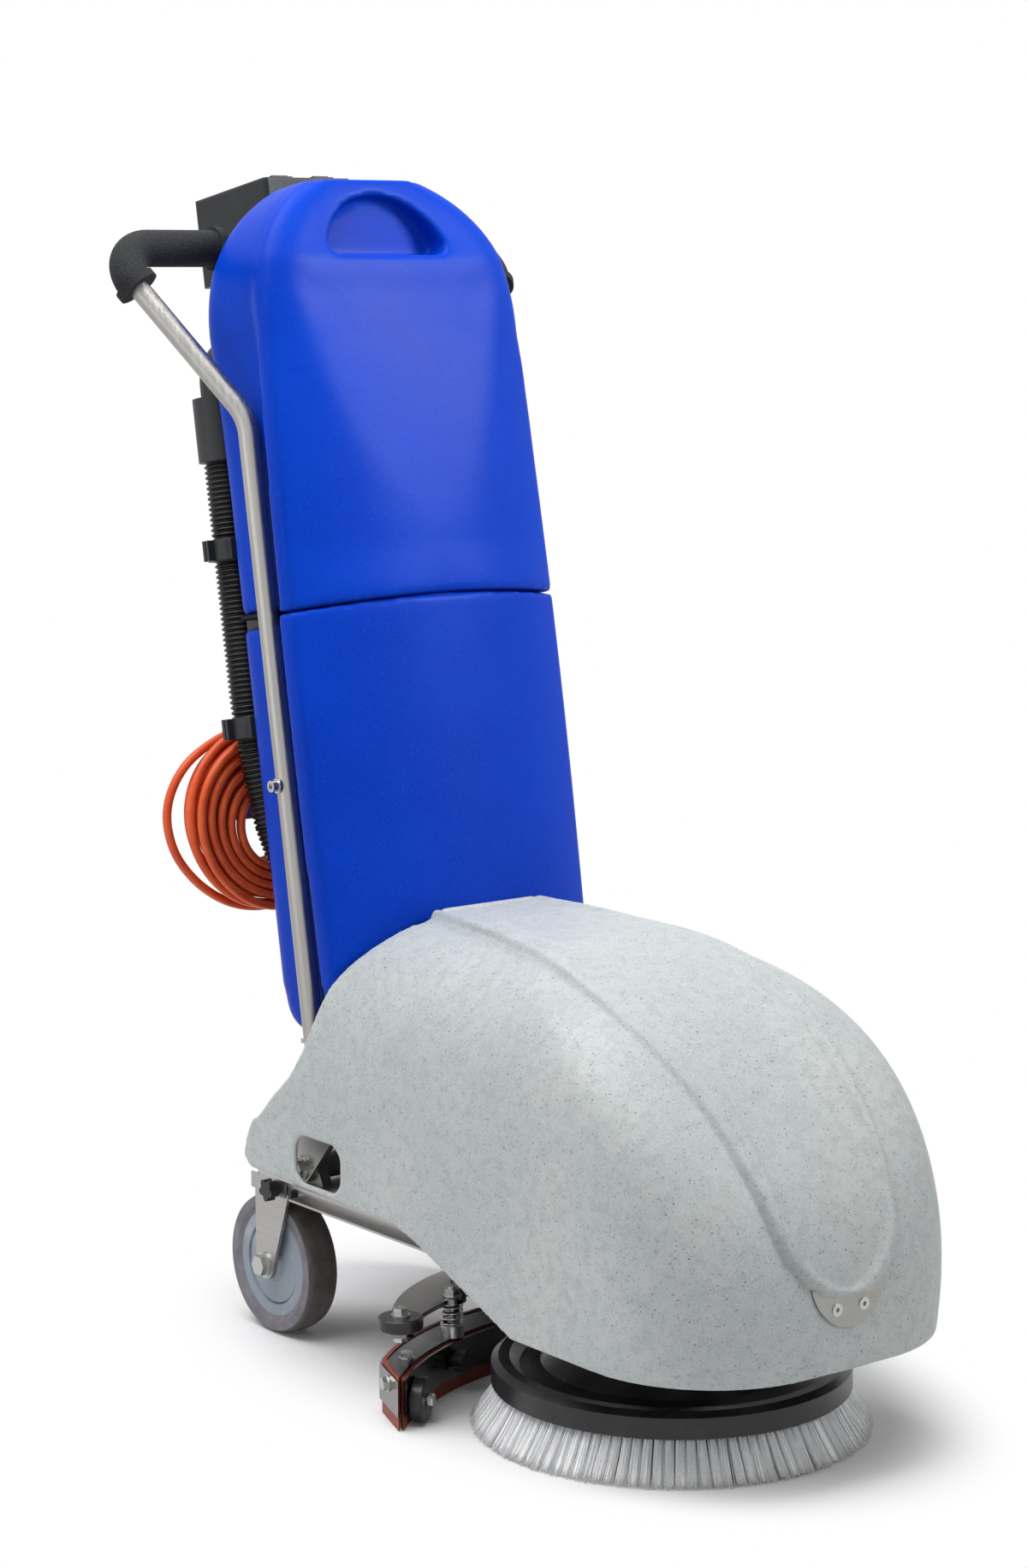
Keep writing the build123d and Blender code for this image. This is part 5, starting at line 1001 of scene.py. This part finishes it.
def bristles():
    """Rows of packed tufts that flare outwards to the floor, with loose filaments round them."""
    draw = Random(11)
    points, faces = [], []
    for inset, count, flare, root, tip, strands in TUFTS:
        for number in range(count):
            middle = tau * number / count
            lean = draw.gauss(0.0, TUFT_LEAN)
            first = len(points)
            for row in range(TUFT_RINGS):
                part = row / (TUFT_RINGS - 1) * TUFT_END
                out, wide, level = tuft_place(inset, flare, root, tip, part)
                for corner in range(TUFT_SIDES):
                    turn = tau * corner / TUFT_SIDES
                    flute = TUFT_CORE * (1.0 - TUFT_FLUTE * (corner % 2))
                    points.append(on_brush(middle, min(out + root * flute * cos(turn), REACH_R),
                                           wide * flute * sin(turn) + lean * part, level))
            faces += skin(TUFT_RINGS, TUFT_SIDES, first)
            faces.append(tuple(reversed(range(first, first + TUFT_SIDES))))
            faces.append(tuple(range(len(points) - TUFT_SIDES, len(points))))
            for _ in range(strands):
                turn = draw.uniform(0.0, tau)
                share = draw.uniform(*STRAND_RING)
                stray = draw.gauss(0.0, STRAND_STRAY)
                end = draw.uniform(*STRAND_END)
                first = len(points)
                for row in range(STRAND_RINGS):
                    part = row / (STRAND_RINGS - 1) * end
                    out, wide, level = tuft_place(inset, flare, root, tip, part)
                    thick = STRAND_R * (1.0 - STRAND_TAPER * part)
                    far = out + root * share * cos(turn) + stray * part
                    beside = (wide * share + stray * part) * sin(turn) + lean * part
                    for corner in range(STRAND_SIDES):
                        angle = tau * corner / STRAND_SIDES
                        points.append(on_brush(middle, min(far + thick * cos(angle), REACH_R),
                                               beside + thick * sin(angle), level))
                faces += skin(STRAND_RINGS, STRAND_SIDES, first)
                faces.append(tuple(range(len(points) - STRAND_SIDES, len(points))))
    return mesh_piece("brush_filaments", points, faces, NYLON)


filaments = bristles()
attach(filaments, "brush")
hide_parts("bristles")

# Squeegee springs
SPRING_X = 0.088
SPRING_Y = BRUSH_Y + 0.180
SPRING_LOW, SPRING_HIGH = 0.054, 0.074
SPRING_WIRE_R = 0.001
SPRING_R = 0.0095 - SPRING_WIRE_R
SPRING_TURNS = 5
SPRING_STEPS, SPRING_SIDES = 28, 10


def springs():
    """Two short wire springs with their ends closed flat."""
    points, faces = [], []
    count = SPRING_TURNS * SPRING_STEPS
    foot, travel = SPRING_LOW + SPRING_WIRE_R, SPRING_HIGH - SPRING_LOW - 2 * SPRING_WIRE_R
    for x in (-SPRING_X, SPRING_X):
        line = []
        for step in range(count + 1):
            angle = tau * SPRING_TURNS * step / count
            rise = (step / count - 0.5 / SPRING_TURNS) / (1 - 1 / SPRING_TURNS)
            level = foot + travel * min(max(rise, 0.0), 1.0)
            line.append(Vector((x + SPRING_R * cos(angle), SPRING_Y + SPRING_R * sin(angle), level)))
        first = len(points)
        points += rings(line, [SPRING_WIRE_R] * len(line), SPRING_SIDES)
        faces += skin(len(line), SPRING_SIDES, first)
        faces.append(tuple(range(first, first + SPRING_SIDES)))
        faces.append(tuple(range(len(points) - SPRING_SIDES, len(points))))
    return mesh_piece("spring_wire", points, faces, ZINC)


spring_pair = springs()
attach(spring_pair, "chassis")
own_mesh(spring_pair)
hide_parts("squeegee_springs")
